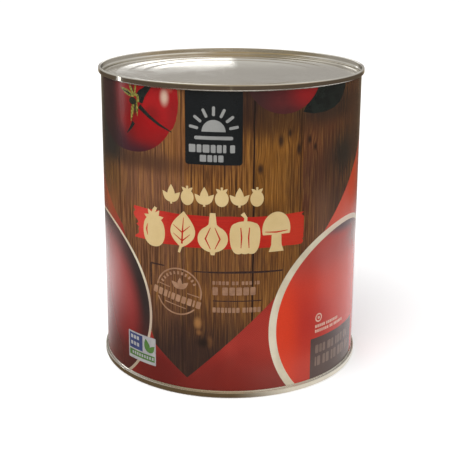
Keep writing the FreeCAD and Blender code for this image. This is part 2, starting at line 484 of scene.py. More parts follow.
def plum_tomato():
    crown = [leaf(0, 15.2, 7.0, 3.0, lean) for lean in (-72, -34, 0, 34, 72)]
    stalk = ribbon([(0, 16.0), (0.4, TALL - 3.0), (1.6, TALL)], (1.6, 1.5, 2.0))
    shine = ribbon([(-4.4, 5.6), (-5.1, 9.0), (-4.4, 12.2)], (0.4, 1.2, 0.4))
    return [oval(0, 8.6, 7.4, 8.8, square=2.3), *crown, stalk], [shine]


def basil_leaf():
    blade = leaf(0, 1.8, TALL - 1.8, 14.6, 4)
    stalk = ribbon([(-1.6, -1.2), (-0.2, 3.0)], (1.3, 1.6))
    rib = ribbon([(0.2, 4.0), (0.6, 11.0), (1.3, TALL - 3.6)], (1.1, 0.9, 0.3))
    veins = [ribbon([(0.4, rise), (side * 5.0, rise + 4.0)], (0.8, 0.3))
             for rise in (5.6, 10.4) for side in SIDES]
    return [blade, stalk], [rib, *veins]


def onion():
    neck = [(-6.0, 12.6), (-2.2, 16.2), (-1.5, TALL), (1.5, TALL), (2.2, 16.2), (6.0, 12.6)]
    root = ribbon([(0, 1.0), (0, -1.2)], (3.2, 2.0))
    skins = [ribbon([(side * 1.2, 2.2), (side * 4.0, 8.0), (side * 1.2, 14.4)], (0.4, 0.9, 0.4))
             for side in SIDES]
    return [oval(0, 8.0, 8.3, 7.6), neck, root], skins


def pepper():
    lobes = [oval(shift, 8.4, 4.3, 8.8, lean=-shift * 1.2, square=2.4) for shift in (-4.0, 0.0, 4.0)]
    stalk = ribbon([(0, 16.0), (0.3, TALL - 2.4), (-1.6, TALL)], (2.0, 1.7, 2.4))
    folds = [ribbon([(side * 2.2, 3.0), (side * 1.9, 9.0), (side * 2.4, 14.6)], (0.4, 0.8, 0.5))
             for side in SIDES]
    return [*lobes, oval(0, 16.6, 5.4, 1.6), stalk], folds


def mushroom():
    dome = [(x, max(z, 9.8)) for x, z in oval(0, 12.6, 8.2, 10.0)]
    stem = [(-2.8, 10.4), (-3.0, 4.0), (-4.4, 0), (4.4, 0), (3.0, 4.0), (2.8, 10.4)]
    gill = ribbon([(-6.6, 11.6), (0, 11.1), (6.6, 11.6)], (0.4, 0.9, 0.4))
    return [dome, stem], [gill]


# %% [markdown]
# The stroke comes first, with frayed ends from a few chance steps whose seed is fixed. The five
# ornaments stand on it at even steps, each with its cuts. Above them runs a small row in which
# sprigs and radishes take turns.

# %% Lay out the title rows
TITLE_LEFT, TITLE_SPACING = -44.8, 17.6
lay("brush_red", dry_brush(-60.0, 42.4, 88.0, 106.3, fray=4.5, seed=7))
for index, ornament in enumerate((plum_tomato, basil_leaf, onion, pepper, mushroom)):
    solid_parts, cut_parts = ornament()
    x = TITLE_LEFT + index * TITLE_SPACING
    lay("title_cream", *moved(solid_parts, x, TITLE_FOOT))
    lay("brush_red", *moved(cut_parts, x, TITLE_FOOT))

SMALL_LEFT, SMALL_SPACING, SMALL_FOOT = -33.2, 9.5, 111.5
SPRIG = [leaf(0, 1.2, 9.8, 4.6, 0), leaf(0, 1.0, 8.0, 3.6, -42), leaf(0, 1.0, 8.0, 3.6, 42),
         ribbon([(0, 0), (0, 3)], (1.2, 1.2))]
RADISH = [oval(0, 4.6, 3.7, 4.4), leaf(0, 7.4, 4.2, 2.0, -48), leaf(0, 7.4, 4.2, 2.0, 48),
          ribbon([(0, 8.0), (0, 11.0)], (1.0, 1.2))]
for index in range(6):
    lay("title_cream", *moved(RADISH if index % 2 else SPRIG, SMALL_LEFT + index * SMALL_SPACING, SMALL_FOOT))
print(len(fields), "fields with the title rows")

# %% [markdown]
# The smaller furniture of the label comes last. A dark plaque hangs from the top edge, with a
# rising sun on it: half an oval, seven rays and a bar for the ground. Rows of bars keep the texture
# that lines of print give a label, and say nothing.

# %% Lay out the plaque
lay("plaque", card(-24.7, 6.2, 134.6, LABEL_TOP + 4, corner=1.6))
SUN = (-9.2, 152.6)
SUN_RADIUS = 6.4
RAYS, RAY_TURN = 7, 26
lay("plaque_grey", [(x, max(z, SUN[1])) for x, z in oval(*SUN, SUN_RADIUS)])
for ray in range(RAYS):
    upright = card(SUN[0] - 0.8, SUN[0] + 0.8, SUN[1] + 8.4, SUN[1] + 13.6, corner=0.7)
    lay("plaque_grey", turned(upright, *SUN, RAY_TURN * (ray - RAYS // 2)))
lay("plaque_grey", card(-19.6, 1.2, 148.3, 150.2, corner=0.8))
lay("plaque_grey", *word_bars(-22.6, 141.3, 145.6, (0.85, 0.6, 0.85, 0.6, 0.6, 0.4, -0.15, 0.6), gap=0.16),
    *word_bars(-16.6, 136.3, 140.0, (0.95, 0.7, 0.5, 0.75), gap=0.18))
print(len(fields), "fields with the plaque")

# %% [markdown]
# The badge is a thin ring with a band across it that leans a little. The band is cut out of the
# ring in the colour of the boards, and carries bars with a fine rule above and below. Three leaves
# and an arc of small marks fill the ring.

# %% Lay out the badge
BADGE = (-29.4, 61.3)
BADGE_RADIUS = 13.8
BADGE_LEAN = -13
MARKS, FIRST_MARK, MARK_TURN, MARK_RADIUS = 11, 152, 12.4, 11.0


def on_badge(left, right, foot, top):
    """Return a box given from the badge's middle, leant as the badge is."""
    box = card(BADGE[0] + left, BADGE[0] + right, BADGE[1] + foot, BADGE[1] + top)
    return turned(box, *BADGE, BADGE_LEAN)


lay("badge_tan", [oval(*BADGE, BADGE_RADIUS), oval(*BADGE, BADGE_RADIUS - 0.8)])
lay("boards", on_badge(-17, 17, -7.2, -0.4))
bars = word_bars(BADGE[0] - 15.2, BADGE[1] - 6.0, BADGE[1] - 1.8,
                 (0.62, 0.62, 0.5, 0.25, 0.5, 0.62, 0.62, 0.62, 0.25, 0.62), gap=0.2)
lay("badge_tan", *[turned(bar, *BADGE, BADGE_LEAN) for bar in bars])
for left, right, foot in ((-12.6, -5.4, 0.5), (5.4, 12.6, 0.5), (-6.5, 6.5, -8.6)):
    lay("badge_tan", on_badge(left, right, foot, foot + 0.5))
lay("badge_tan", *[leaf(BADGE[0] + 1.0, BADGE[1] + 1.6, 6.6, 3.0, lean) for lean in (-50, 0, 50)])
for mark in range(MARKS):
    angle = math.radians(FIRST_MARK - MARK_TURN * mark)
    x = BADGE[0] + MARK_RADIUS * math.cos(angle)
    z = BADGE[1] + MARK_RADIUS * math.sin(angle)
    lay("badge_tan", turned(card(x - 0.55, x + 0.55, z - 0.9, z + 0.9), x, z, math.degrees(angle) - 90))
print(len(fields), "fields with the badge")

# %% [markdown]
# Beside the badge stand three lines of small print with a rule under the second. A small sticker
# sits low on the left, pale with a blue and a green patch. The weight panel and a ring with two
# lines of notes are on the right bowl.

# %% Lay out the small print, sticker and weight panel
lay("small_tan",
    *word_bars(-9.6, 67.3, 69.4,
               (0.7, 0.3, 0.7, 0.7, 0.7, -0.3, 0.7, 0.7, -0.3, 0.7, 0.7, 0.7, -0.2, 0.3, 0.7)),
    *word_bars(-9.6, 61.2, 65.9, (0.62, -0.2, 0.66, 0.66, 0.66, 0.66, 0.62), gap=0.16),
    *word_bars(-9.6, 51.0, 54.0,
               (0.6, 0.6, 0.6, 0.35, 0.6, 0.6, 0.6, -0.2, 0.6, 0.3, 0.6, 0.6, 0.6), gap=0.17))
lay("board_line", card(-9.6, 17.5, 57.5, 58.1))

STICKER_LEFT, STICKER_RIGHT, STICKER_FOOT, STICKER_TOP = -67.2, -44.7, 12.5, 29.4
lay("sticker_pale", card(STICKER_LEFT, STICKER_RIGHT, STICKER_FOOT, STICKER_TOP, corner=0.6))
lay("sticker_blue", card(STICKER_LEFT + 0.9, STICKER_LEFT + 12.4, STICKER_FOOT + 6.4, STICKER_TOP - 0.9))
lay("sticker_green", card(STICKER_LEFT + 0.9, STICKER_RIGHT - 0.9, STICKER_FOOT + 1.9, STICKER_FOOT + 5.6))
for drop in (4.4, 8.4):
    lay("sticker_pale", *word_bars(STICKER_LEFT + 2.2, STICKER_TOP - drop, STICKER_TOP - drop + 2.2,
                                   (0.9,) * 3, gap=0.3))
lay("sticker_pale", *word_bars(STICKER_LEFT + 3.4, STICKER_FOOT + 2.9, STICKER_FOOT + 4.7,
                               (0.7,) * 9, gap=0.42))
lay("sticker_green", leaf(STICKER_RIGHT - 5.6, STICKER_FOOT + 7.0, 8.6, 4.4, -14),
    leaf(STICKER_RIGHT - 5.2, STICKER_FOOT + 7.0, 6.6, 3.4, 42))

lay("weight_panel", card(49.7, 97.0, LABEL_FOOT - 2, 28.5))
lay("weight_bars",
    *word_bars(53.6, 18.6, 23.8,
               (0.5, 0.42, 0.42, -0.15, 0.6, 0.42, -0.15, 0.3, 0.5, 0.5, -0.15, 0.5, 0.42), gap=0.14),
    *word_bars(53.4, 10.6, 16.6, (0.2, 0.42, -0.1, 0.38, 0.46, -0.1, 0.3, 0.46, -0.1, 0.46, 0.4, 0.2,
                                  -0.1, 0.4, 0.3), gap=0.13))
NOTE_RING = (55.6, 40.6)
lay("note_pale", [oval(*NOTE_RING, 2.7), oval(*NOTE_RING, 1.9)], oval(*NOTE_RING, 0.9))
lay("note_pale",
    *word_bars(53.0, 34.6, 36.4, (*(0.7,) * 5, -0.2, *(0.7,) * 7), gap=0.25),
    *word_bars(53.0, 31.6, 33.4, (*(0.7,) * 7, -0.2, *(0.7,) * 2, -0.2, *(0.7,) * 6), gap=0.25))
print(len(fields), "fields in all")

# %% [markdown]
# ## Cutting the fields like inlay
#
# Fields that lie on top of each other would flicker in a render and would need ever more height.
# So the whole sheet is cut once, along every outline and along a fine grid of upright lines that
# lets it bend round the tin. Blender's constrained triangulation does that in one call. Each little
# triangle then belongs to the last field laid over it, found by counting how many edges of an
# outline a line to the right of it crosses.

# %% Cut the sheet and sort its triangles by field
COLUMN = 2.5
RAMP_STEPS = 4
MERGE_DISTANCE = 1e-4
LEAST_AREA = 1e-7
column_count = round((SHEET_RIGHT - SHEET_LEFT) / COLUMN)
columns = [SHEET_LEFT + (SHEET_RIGHT - SHEET_LEFT) * i / column_count for i in range(column_count + 1)]
LAP_START = HALF_WRAP - LABEL_LAP / 2 - LAP_RAMP
columns += [LAP_START + LAP_RAMP * i / RAMP_STEPS for i in range(RAMP_STEPS + 1)]

points, edges = [], []


def add_line(line, closed):
    """Add a line, or a closed outline, to what the sheet is cut along."""
    first = len(points)
    points.extend(Vector(point) for point in line)
    count = len(line)
    edges.extend((first + i, first + (i + 1) % count) for i in range(count if closed else count - 1))


for x in columns:
    add_line([(x, LABEL_FOOT), (x, LABEL_TOP)], closed=False)
for z in (LABEL_FOOT, LABEL_TOP):
    add_line([(SHEET_LEFT, z), (SHEET_RIGHT, z)], closed=False)
for _, outlines in fields:
    for outline in outlines:
        add_line(outline, closed=True)

cut_points, _, cut_faces, *_ = delaunay_2d_cdt(points, edges, [], 0, MERGE_DISTANCE, False)
cut_points = np.array([(point.x, point.y) for point in cut_points])
cut_faces = np.array(cut_faces)
corners = cut_points[cut_faces]
middles = corners.mean(axis=1)
area = 0.5 * np.abs(np.cross(corners[:, 1] - corners[:, 0], corners[:, 2] - corners[:, 0]))
on_sheet = ((middles[:, 0] > SHEET_LEFT) & (middles[:, 0] < SHEET_RIGHT)
            & (middles[:, 1] > LABEL_FOOT) & (middles[:, 1] < LABEL_TOP) & (area > LEAST_AREA))
cut_faces, middles = cut_faces[on_sheet], middles[on_sheet]


def inside(outlines, places):
    """Tell which places lie inside an odd number of the outlines."""
    found = np.zeros(len(places), bool)
    for outline in outlines:
        ring = np.array(outline)
        for (x0, z0), (x1, z1) in zip(ring, np.roll(ring, -1, axis=0)):
            if z0 == z1:
                continue
            spans = (z0 > places[:, 1]) != (z1 > places[:, 1])
            crossing = x0 + (x1 - x0) * (places[:, 1] - z0) / (z1 - z0)
            found ^= spans & (places[:, 0] < crossing)
    return found


field_names = sorted({name for name, _ in fields})
owner = np.zeros(len(cut_faces), int)
for name, outlines in fields:
    owner[inside(outlines, middles)] = field_names.index(name)
print(len(cut_faces), "triangles in", len(field_names), "fields")

# %% [markdown]
# ## Rolling the flat sheet round the tin
#
# A label is one flat strip, rolled. Geometry Nodes says that in a few steps: give the flat cut-out
# its paper thickness, then move each point to the angle that its place along the strip has on the
# tin. Where the strip comes round and meets itself, the outer end climbs one paper thickness onto
# the inner one. The same tree rolls every field, so the cuts still meet after rolling.
#
# The lathe further down is a second tree. Both begin and end alike, so that part is in helpers.

# %% Make helpers for Geometry Nodes trees
def new_shaping(name, inputs):
    """Start a Geometry Nodes tree; inputs are (name, kind). The sockets are kept by their names."""
    tree = bpy.data.node_groups.new(name, "GeometryNodeTree")
    tree.is_modifier = True
    sockets = {}
    inputs = [("Geometry", "NodeSocketGeometry"), *inputs, ("Material", "NodeSocketMaterial")]
    for socket_name, kind in inputs:
        socket = tree.interface.new_socket(name=socket_name, in_out="INPUT", socket_type=kind)
        sockets[socket_name] = socket.identifier
    tree.interface.new_socket(name="Geometry", in_out="OUTPUT", socket_type="NodeSocketGeometry")
    recipe = Recipe(tree)
    return tree, recipe, recipe.node("NodeGroupInput").outputs, sockets


def end_shaping(recipe, geometry, given):
    """End a tree in plain geometry that wears the material it was given."""
    single = recipe.node("GeometryNodeRealizeInstances", {"Geometry": geometry})
    dressed = recipe.node("GeometryNodeSetMaterial", {"Geometry": single.outputs[0],
                                                      "Material": given["Material"]})
    recipe.node("NodeGroupOutput", {"Geometry": dressed.outputs[0]})


def run_tree(piece, tree, sockets, **values):
    """Run a tree on a piece, and leave the result as the piece's own plain mesh."""
    modifier = piece.modifiers.new(tree.name, "NODES")
    modifier.node_group = tree
    for name, value in values.items():
        modifier[sockets[name.replace("_", " ")]] = value
    depsgraph = bpy.context.evaluated_depsgraph_get()
    mesh = bpy.data.meshes.new_from_object(piece.evaluated_get(depsgraph), depsgraph=depsgraph)
    piece.modifiers.remove(modifier)
    mesh.name = piece.name
    piece.data = mesh
    return mesh


# %% Build the tree that rolls paper
roll_tree, recipe, given, roll_sockets = new_shaping(
    "roll paper round the tin",
    [(name, "NodeSocketFloat") for name in ("Radius", "Paper", "Lap start", "Lap ramp")])
inward = recipe.node("ShaderNodeCombineXYZ", {"Y": 1.0})
backed = recipe.node("GeometryNodeExtrudeMesh", {"Mesh": given["Geometry"], "Offset": inward.outputs[0],
                                                 "Offset Scale": given["Paper"], "Individual": False})
flipped = recipe.node("GeometryNodeFlipFaces", {"Mesh": backed.outputs["Mesh"]})
joined = recipe.node("GeometryNodeJoinGeometry")
for half in (given["Geometry"], flipped.outputs[0]):
    roll_tree.links.new(half, joined.inputs[0])
welded = recipe.node("GeometryNodeMergeByDistance", {"Geometry": joined.outputs[0], "Distance": 1e-6})
flat = recipe.node("ShaderNodeSeparateXYZ", {0: recipe.node("GeometryNodeInputPosition").outputs[0]}).outputs
angle = recipe.math("DIVIDE", flat["X"], given["Radius"])
lap_end = recipe.math("ADD", given["Lap start"], given["Lap ramp"])
climb = recipe.steps(flat["X"], given["Lap start"], lap_end, 0.0, given["Paper"], smooth=False)
outward = recipe.math("SUBTRACT", recipe.math("ADD", given["Radius"], climb), flat["Y"])
side = recipe.math("MULTIPLY", outward, recipe.math("SINE", angle))
front = recipe.math("MULTIPLY", recipe.math("MULTIPLY", outward, recipe.math("COSINE", angle)), -1.0)
rolled_place = recipe.node("ShaderNodeCombineXYZ", {"X": side, "Y": front, "Z": flat["Z"]})
rolled = recipe.node("GeometryNodeSetPosition", {"Geometry": welded.outputs[0],
                                                 "Position": rolled_place.outputs[0]})
end_shaping(recipe, rolled.outputs[0], given)
print("roll tree has", len(roll_tree.nodes), "nodes")

# %% [markdown]
# ## What all the print shares
#
# Offset print on label paper is never quite even: the ink mottles over a millimetre or so. Over it
# lies a clear varnish, smooth enough to mirror the room softly, and the paper under it cockles a
# little where the glue has dried. One group works out all three, and each ink passes its own
# colour through it.

# %% Build the printed paper group
SURFACE = (("Colour", "NodeSocketColor"), ("Roughness", "NodeSocketFloat"), ("Normal", "NodeSocketVector"))

print_group, recipe, given, result = new_group(
    "printed paper",
    [("Place", "NodeSocketVector", None), ("Ink", "NodeSocketColor", None),
     ("Mottle", "NodeSocketFloat", 0.06)],
    SURFACE)
mottling = recipe.noise(given["Place"], 1.1, detail=3.0, rough=0.65)
weakest = recipe.math("SUBTRACT", 1.0, given["Mottle"])
strongest = recipe.math("ADD", 1.0, given["Mottle"])
strength = recipe.steps(mottling, 0.3, 0.7, weakest, strongest, smooth=False)
haze = recipe.noise(given["Place"], 0.035, detail=2.0)
cockle = recipe.noise(given["Place"], 0.05, detail=1.5, rough=0.4)
bump = recipe.node("ShaderNodeBump", {"Height": cockle, "Distance": 0.00012, "Strength": 1.0})
recipe.feed(result["Colour"], recipe.vector("SCALE", given["Ink"], strength))
recipe.feed(result["Roughness"], recipe.steps(haze, 0.3, 0.7, 0.19, 0.26))
recipe.feed(result["Normal"], bump.outputs[0])

# %% [markdown]
# A paint is a function: it is given a recipe and the place on the print, and returns a colour. Two
# kinds make nearly all of them. `two_tone` drifts between two close colours, and `airbrushed` lays
# soft spots on another paint, which is how shadows and highlights get in.

# %% Make the calls that paint
PRINT_FINISH = {"Roughness": 0.22, "Specular_IOR_Level": 0.4}
print_materials = {}


def wear(recipe, shader, surface):
    """Give a shader the colour, roughness and normal that a group puts out."""
    for output, socket_name in (("Colour", "Base Color"), ("Roughness", "Roughness"), ("Normal", "Normal")):
        recipe.feed(shader.inputs[socket_name], surface.outputs[output])


def printed(name, paint, mottle=0.06):
    """Make the material of one field; paint(recipe, place) gives its colour."""
    material, recipe, shader = new_finish("print_" + name, **PRINT_FINISH)
    place = recipe.group(place_group).outputs[0]
    wear(recipe, shader, recipe.group(print_group, Place=place, Ink=paint(recipe, place), Mottle=mottle))
    print_materials[name] = material


def spots(recipe, place, colour, marks):
    """Lay soft spots on a colour; each is (x, z, reach x, reach z, softness, amount, spot colour)."""
    for *spot, amount, tint in marks:
        mask = soft_spot(recipe, place, *spot)
        colour = recipe.mix(recipe.math("MULTIPLY", mask, amount), colour, tint)
    return colour


def two_tone(first, second, scale=0.2, blur=0.15, **clouds):
    """Return a paint that drifts between two colours in clouds; a small scale makes them broad."""
    return lambda recipe, place: recipe.mix(
        recipe.steps(recipe.noise(place, scale, **clouds), 0.5 - blur, 0.5 + blur), first, second)


def airbrushed(ground, marks):
    """Return a paint that lays soft spots on another paint."""
    return lambda recipe, place: spots(recipe, place, ground(recipe, place), marks)


print("printed paper group ready, with", len(print_group.nodes), "nodes")

# %% [markdown]
# ## Boards
#
# Old boards are warm brown, upright in the picture, and each has its own tone. Noise drawn out
# along the board makes the grain: dark lines with golden ones between, and a finer set of pores.
# The joints are thin dark lines, almost straight. Knots are small dark ovals that push the grain
# aside, which is done by bending the place before the grain reads it. Broad soft spots then put in
# the shadows and the blurred dark things that stand behind the table.

# %% Plan the boards
# The leftmost board has no joint; each other board is (its left joint, how dark that is, its tone).
FIRST_TONE = (92, 62, 40)
BOARDS = (
    (-160.0, 0.50, (76, 52, 37)),
    (-117.0, 0.50, (80, 52, 34)),
    (-72.7, 0.40, (106, 68, 46)),
    (-27.0, 0.50, (108, 66, 30)),
    (12.4, 0.95, (114, 70, 24)),
    (39.6, 0.60, (96, 54, 34)),
    (92.0, 0.40, (72, 43, 31)),
    (130.0, 0.50, (66, 39, 29)),
)
# Each knot is (x, z, half width, half height).
KNOTS = ((15.9, 132.4, 1.4, 2.4), (27.3, 147.0, 1.5, 3.1), (32.4, 151.0, 0.9, 2.0), (38.0, 141.8, 1.2, 3.0),
         (45.0, 146.3, 1.2, 2.2), (49.0, 141.9, 1.0, 1.8), (-15.0, 32.5, 3.2, 2.6))
BOARD_SPOTS = (
    (-50.0, 122.0, 24.0, 14.0, 0.8, 0.35, (130, 88, 64)),
    (-30.0, 152.0, 6.0, 24.0, 0.7, 0.45, (138, 88, 42)),
    (-56.0, 133.0, 34.0, 5.0, 0.8, 0.70, (62, 42, 32)),
    (22.0, 132.0, 14.0, 22.0, 0.8, 0.40, (132, 86, 30)),
    (0.0, 70.0, 60.0, 26.0, 0.8, 0.30, (104, 70, 46)),
    (-22.0, 8.0, 44.0, 40.0, 0.5, 0.90, (48, 34, 31)),
    (8.0, 168.0, 16.0, 13.0, 0.7, 0.85, (44, 30, 28)),
    (34.0, 158.0, 36.0, 9.0, 0.7, 0.65, (56, 36, 24)),
    (12.0, 108.0, 20.0, 5.0, 0.9, 0.45, (66, 42, 24)),
    (54.0, 136.0, 14.0, 34.0, 0.7, 0.45, (90, 55, 37)),
    (52.0, 124.0, 12.0, 14.0, 0.8, 0.45, (54, 38, 32)),
    (84.0, 152.0, 12.0, 14.0, 0.8, 0.45, (66, 46, 35)),
    (75.0, 135.0, 14.0, 12.0, 0.8, 0.90, (38, 38, 34)),
    (72.0, 108.0, 16.0, 14.0, 0.8, 0.60, (60, 50, 44)),
    (56.0, 102.0, 7.0, 14.0, 0.9, 0.45, (112, 78, 56)),
    (62.0, 164.0, 24.0, 9.0, 0.6, 0.75, (44, 38, 33)),
    (96.0, 168.0, 26.0, 24.0, 0.7, 0.50, (66, 46, 34)),
    (-100.0, 150.0, 26.0, 28.0, 0.35, 0.97, (34, 31, 29)),
    (-82.0, 138.0, 12.0, 10.0, 0.9, 0.80, (38, 38, 36)),
    (-84.0, 118.0, 13.0, 9.0, 0.8, 0.55, (98, 66, 36)),
    (-84.0, 102.0, 12.0, 9.0, 0.9, 0.70, (128, 80, 46)),
    (-18.0, 44.0, 1.9, 3.0, 0.7, 0.75, (158, 110, 62)),
    (-17.4, 38.4, 1.3, 1.4, 0.8, 0.60, (140, 92, 50)),
    (-11.2, 33.2, 1.4, 2.8, 0.8, 0.50, (126, 82, 46)),
)
print(len(BOARDS) + 1, "boards,", len(KNOTS), "knots,", len(BOARD_SPOTS), "soft spots")

# %% Paint the boards
RAMP_HALF = 250.0
GRAIN_INK, GRAIN_GOLD = (46, 29, 18), (160, 112, 52)
PORE_INK, PORE_GOLD = (46, 28, 17), (172, 120, 52)
PATCH_INK, JOINT_INK, KNOT_INK = (64, 42, 30), (32, 22, 18), (36, 27, 23)
KNOT_PUSH = 1.2
KNOT_STRENGTH = 0.85


def board_tones(recipe, ruled):
    """Return each board's own tone, from one colour ramp with hard steps at the joints."""
    tone = recipe.node("ShaderNodeValToRGB", {0: recipe.steps(ruled, -RAMP_HALF, RAMP_HALF, smooth=False)})
    tone.color_ramp.interpolation = "CONSTANT"
    stops = tone.color_ramp.elements
    stops.remove(stops[1])
    stops[0].position = 0.0
    stops[0].color = ink(FIRST_TONE)
    for joint, _, colour in BOARDS:
        stops.new((joint + RAMP_HALF) / (2 * RAMP_HALF)).color = ink(colour)
    return tone.outputs[0]


def paint_boards(recipe, place):
    bent = place
    for x, z, half_width, half_height in KNOTS:
        near = soft_spot(recipe, place, x, z, half_width * 1.8, half_height * 2.0, 0.95)
        push = recipe.node("ShaderNodeCombineXYZ", {"X": recipe.math("MULTIPLY", near, KNOT_PUSH)})
        bent = recipe.vector("ADD", bent, push.outputs[0])
    across = recipe.node("ShaderNodeSeparateXYZ", {0: place}).outputs["X"]
    waver = recipe.noise(place, 1.0, stretch=(0.0, 0.05, 1.0))
    ruled = recipe.math("ADD", across, recipe.steps(waver, 0.3, 0.7, -0.25, 0.25, smooth=False))
    grain = recipe.noise(bent, 1.0, detail=3.0, rough=0.7, stretch=(0.70, 0.012, 1.0), warp=0.12)
    pores = recipe.noise(bent, 1.0, detail=2.0, rough=0.6, stretch=(1.60, 0.045, 1.0))
    patches = recipe.noise(place, 1.0, detail=3.0, stretch=(0.10, 0.035, 1.0))
    colour = board_tones(recipe, ruled)
    for pattern, low, high, amount, tint in ((patches, 0.48, 0.72, 0.65, PATCH_INK),
                                             (grain, 0.51, 0.66, 0.62, GRAIN_INK),
                                             (grain, 0.47, 0.33, 0.50, GRAIN_GOLD),
                                             (pores, 0.50, 0.62, 0.75, PORE_INK),
                                             (pores, 0.47, 0.36, 0.40, PORE_GOLD)):
        colour = recipe.mix(recipe.steps(pattern, low, high, 0.0, amount), colour, tint)
    colour = spots(recipe, place, colour, BOARD_SPOTS)
    for joint, depth, _ in BOARDS:
        line = recipe.math("ABSOLUTE", recipe.math("SUBTRACT", ruled, joint))
        colour = recipe.mix(recipe.steps(line, 0.20, 0.75, depth, 0.0), colour, JOINT_INK)
    return spots(recipe, place, colour, [(*knot, 0.75, KNOT_STRENGTH, KNOT_INK) for knot in KNOTS])


printed("boards", paint_boards)
printed("board_line", two_tone((44, 32, 30), (62, 44, 36), scale=0.5))
print("boards painted")

# %% [markdown]
# ## Cloth, bowls and sauce
#
# The cloth is a plain red weave that lies in soft folds, darker towards the foot. The bowls are
# cream glaze with a shadow on the far wall, and the sauce is darkest under that wall and brightest
# by the near rim. Soft spots do nearly all of it, as an airbrush would. One pale spot on the left
# sauce is partly printed sheen and partly a painted reflection of a window.

# %% Paint the cloth
CLOTH_SPOTS = (
    (34.0, 30.0, 26.0, 26.0, 0.8, 0.80, (168, 54, 42)),
    (0.0, 6.0, 50.0, 16.0, 0.7, 0.75, (112, 34, 28)),
    (-46.0, 10.0, 22.0, 18.0, 0.7, 0.85, (90, 26, 24)),
    (74.0, 102.0, 26.0, 16.0, 0.7, 0.90, (206, 88, 68)),
    (92.0, 116.0, 9.0, 21.0, 0.6, 0.95, (204, 68, 30)),
    (112.0, 120.0, 14.0, 30.0, 0.7, 0.80, (196, 96, 70)),
    (-92.0, 104.0, 18.0, 11.0, 0.9, 0.90, (152, 78, 44)),
    (-128.0, 90.0, 30.0, 40.0, 0.7, 0.55, (116, 46, 36)),
)
paint_folds = airbrushed(two_tone((124, 36, 30), (160, 48, 38), scale=0.018, blur=0.2,
                                  detail=2.0, rough=0.4, warp=1.2), CLOTH_SPOTS)
WEAVE_LEAN = math.radians(38)
WEAVE_SCALE = 0.30
WEAVE_DEPTH = 0.30


def paint_cloth(recipe, place):
    slanted = recipe.node("ShaderNodeMapping", {0: place, "Rotation": (0.0, 0.0, WEAVE_LEAN)}).outputs[0]
    threads = [recipe.node("ShaderNodeTexWave", {"Vector": slanted, "Scale": WEAVE_SCALE, "Distortion": 0.6,
                                                 "Detail": 1.0}, bands_direction=axis).outputs["Fac"]
               for axis in ("X", "Y")]
    weave = recipe.steps(recipe.math("MULTIPLY", *threads), 0.15, 0.85, 0.0, WEAVE_DEPTH)
    return recipe.mix(weave, paint_folds(recipe, place), (84, 22, 20))


printed("cloth", paint_cloth)
print("cloth painted")

# %% Paint the bowls and sauce
printed("bowl_rim", airbrushed(two_tone((206, 196, 172), (188, 176, 152), scale=0.06, blur=0.2), (
    (-98.0, 98.0, 40.0, 16.0, 0.8, 0.6, (196, 168, 140)),
    (-60.0, 10.0, 18.0, 16.0, 0.8, 0.55, (120, 92, 70)),
    (22.0, 38.0, 5.0, 60.0, 0.4, 0.35, (226, 218, 198)),
    (79.0, 96.0, 34.0, 5.0, 0.8, 0.8, (222, 196, 178)),
    (-47.5, 45.0, 4.0, 26.0, 0.7, 0.7, (168, 142, 124)),
)), mottle=0.03)
printed("left_sauce", airbrushed(two_tone((52, 42, 41), (44, 35, 33), scale=0.03, detail=2.0, rough=0.4), (
    (-104.0, 41.0, 46.0, 44.0, 0.14, 1.0, (136, 44, 42)),
    (-112.0, 76.0, 26.0, 14.0, 0.8, 0.8, (112, 54, 40)),
    # painted reflection: this pale spot is partly the sauce's printed sheen and partly a painted reflection
    # of a window
    (-82.0, 54.0, 15.0, 26.0, 0.8, 0.45, (172, 104, 100)),
    (-98.0, 16.0, 44.0, 26.0, 0.7, 0.85, (100, 25, 25)),
    (-74.0, 12.0, 20.0, 10.0, 0.7, 0.6, (62, 38, 36)),
)))
printed("right_sauce", airbrushed(two_tone((187, 54, 38), (176, 46, 36), scale=0.02, detail=2.0, rough=0.4), (
    (30.0, 34.0, 9.0, 46.0, 0.7, 0.9, (204, 58, 30)),
    (62.0, 82.0, 40.0, 14.0, 0.7, 0.7, (150, 66, 58)),
    (84.0, 95.0, 34.0, 7.0, 0.45, 0.95, (88, 72, 76)),
    (104.0, 82.0, 16.0, 9.0, 0.6, 0.8, (92, 66, 56)),
    (90.0, 60.0, 30.0, 12.0, 0.9, 0.30, (206, 84, 60)),
    (96.0, 44.0, 14.0, 26.0, 0.8, 0.50, (216, 76, 64)),
)))
print("bowls and sauce painted")

# %% [markdown]
# ## Tomatoes and their leaves
#
# Ripe skin is deep red, falls off into shadow at the sides and carries one small bright highlight.
# The leaves and stalks need three inks: near black where they lie in shadow, yellow-green clouded
# with olive where they catch light, and a dark olive for the folds between.

# %% Paint the tomatoes and leaves
printed("lower_tomato", airbrushed(two_tone((148, 17, 20), (134, 15, 18), scale=0.04, blur=0.2), (
    (-60.0, 140.0, 40.0, 10.0, 0.8, 0.55, (104, 26, 27)),
    (-56.0, 137.0, 22.0, 5.5, 0.8, 0.90, (52, 30, 36)),
    (-73.0, 141.0, 12.0, 9.0, 0.8, 0.85, (58, 34, 42)),
    (-98.0, 158.0, 27.5, 60.0, 0.34, 0.96, (40, 30, 31)),
    (-61.0, 151.0, 4.0, 8.0, 0.8, 0.40, (92, 22, 20)),
    (-62.0, 164.0, 8.0, 8.0, 0.8, 0.45, (84, 20, 22)),
)))
printed("upper_tomato", airbrushed(two_tone((152, 22, 24), (136, 18, 21), scale=0.05, blur=0.2), (
    (-31.0, 156.0, 4.0, 10.0, 0.8, 0.4, (122, 26, 26)),
    (-46.0, 160.0, 5.0, 4.0, 0.9, 0.5, (90, 22, 22)),
    (-36.8, 169.4, 2.1, 3.6, 0.80, 0.95, (190, 162, 142)),
    (-33.6, 174.5, 1.6, 2.0, 0.8, 0.60, (168, 90, 70)),
)))
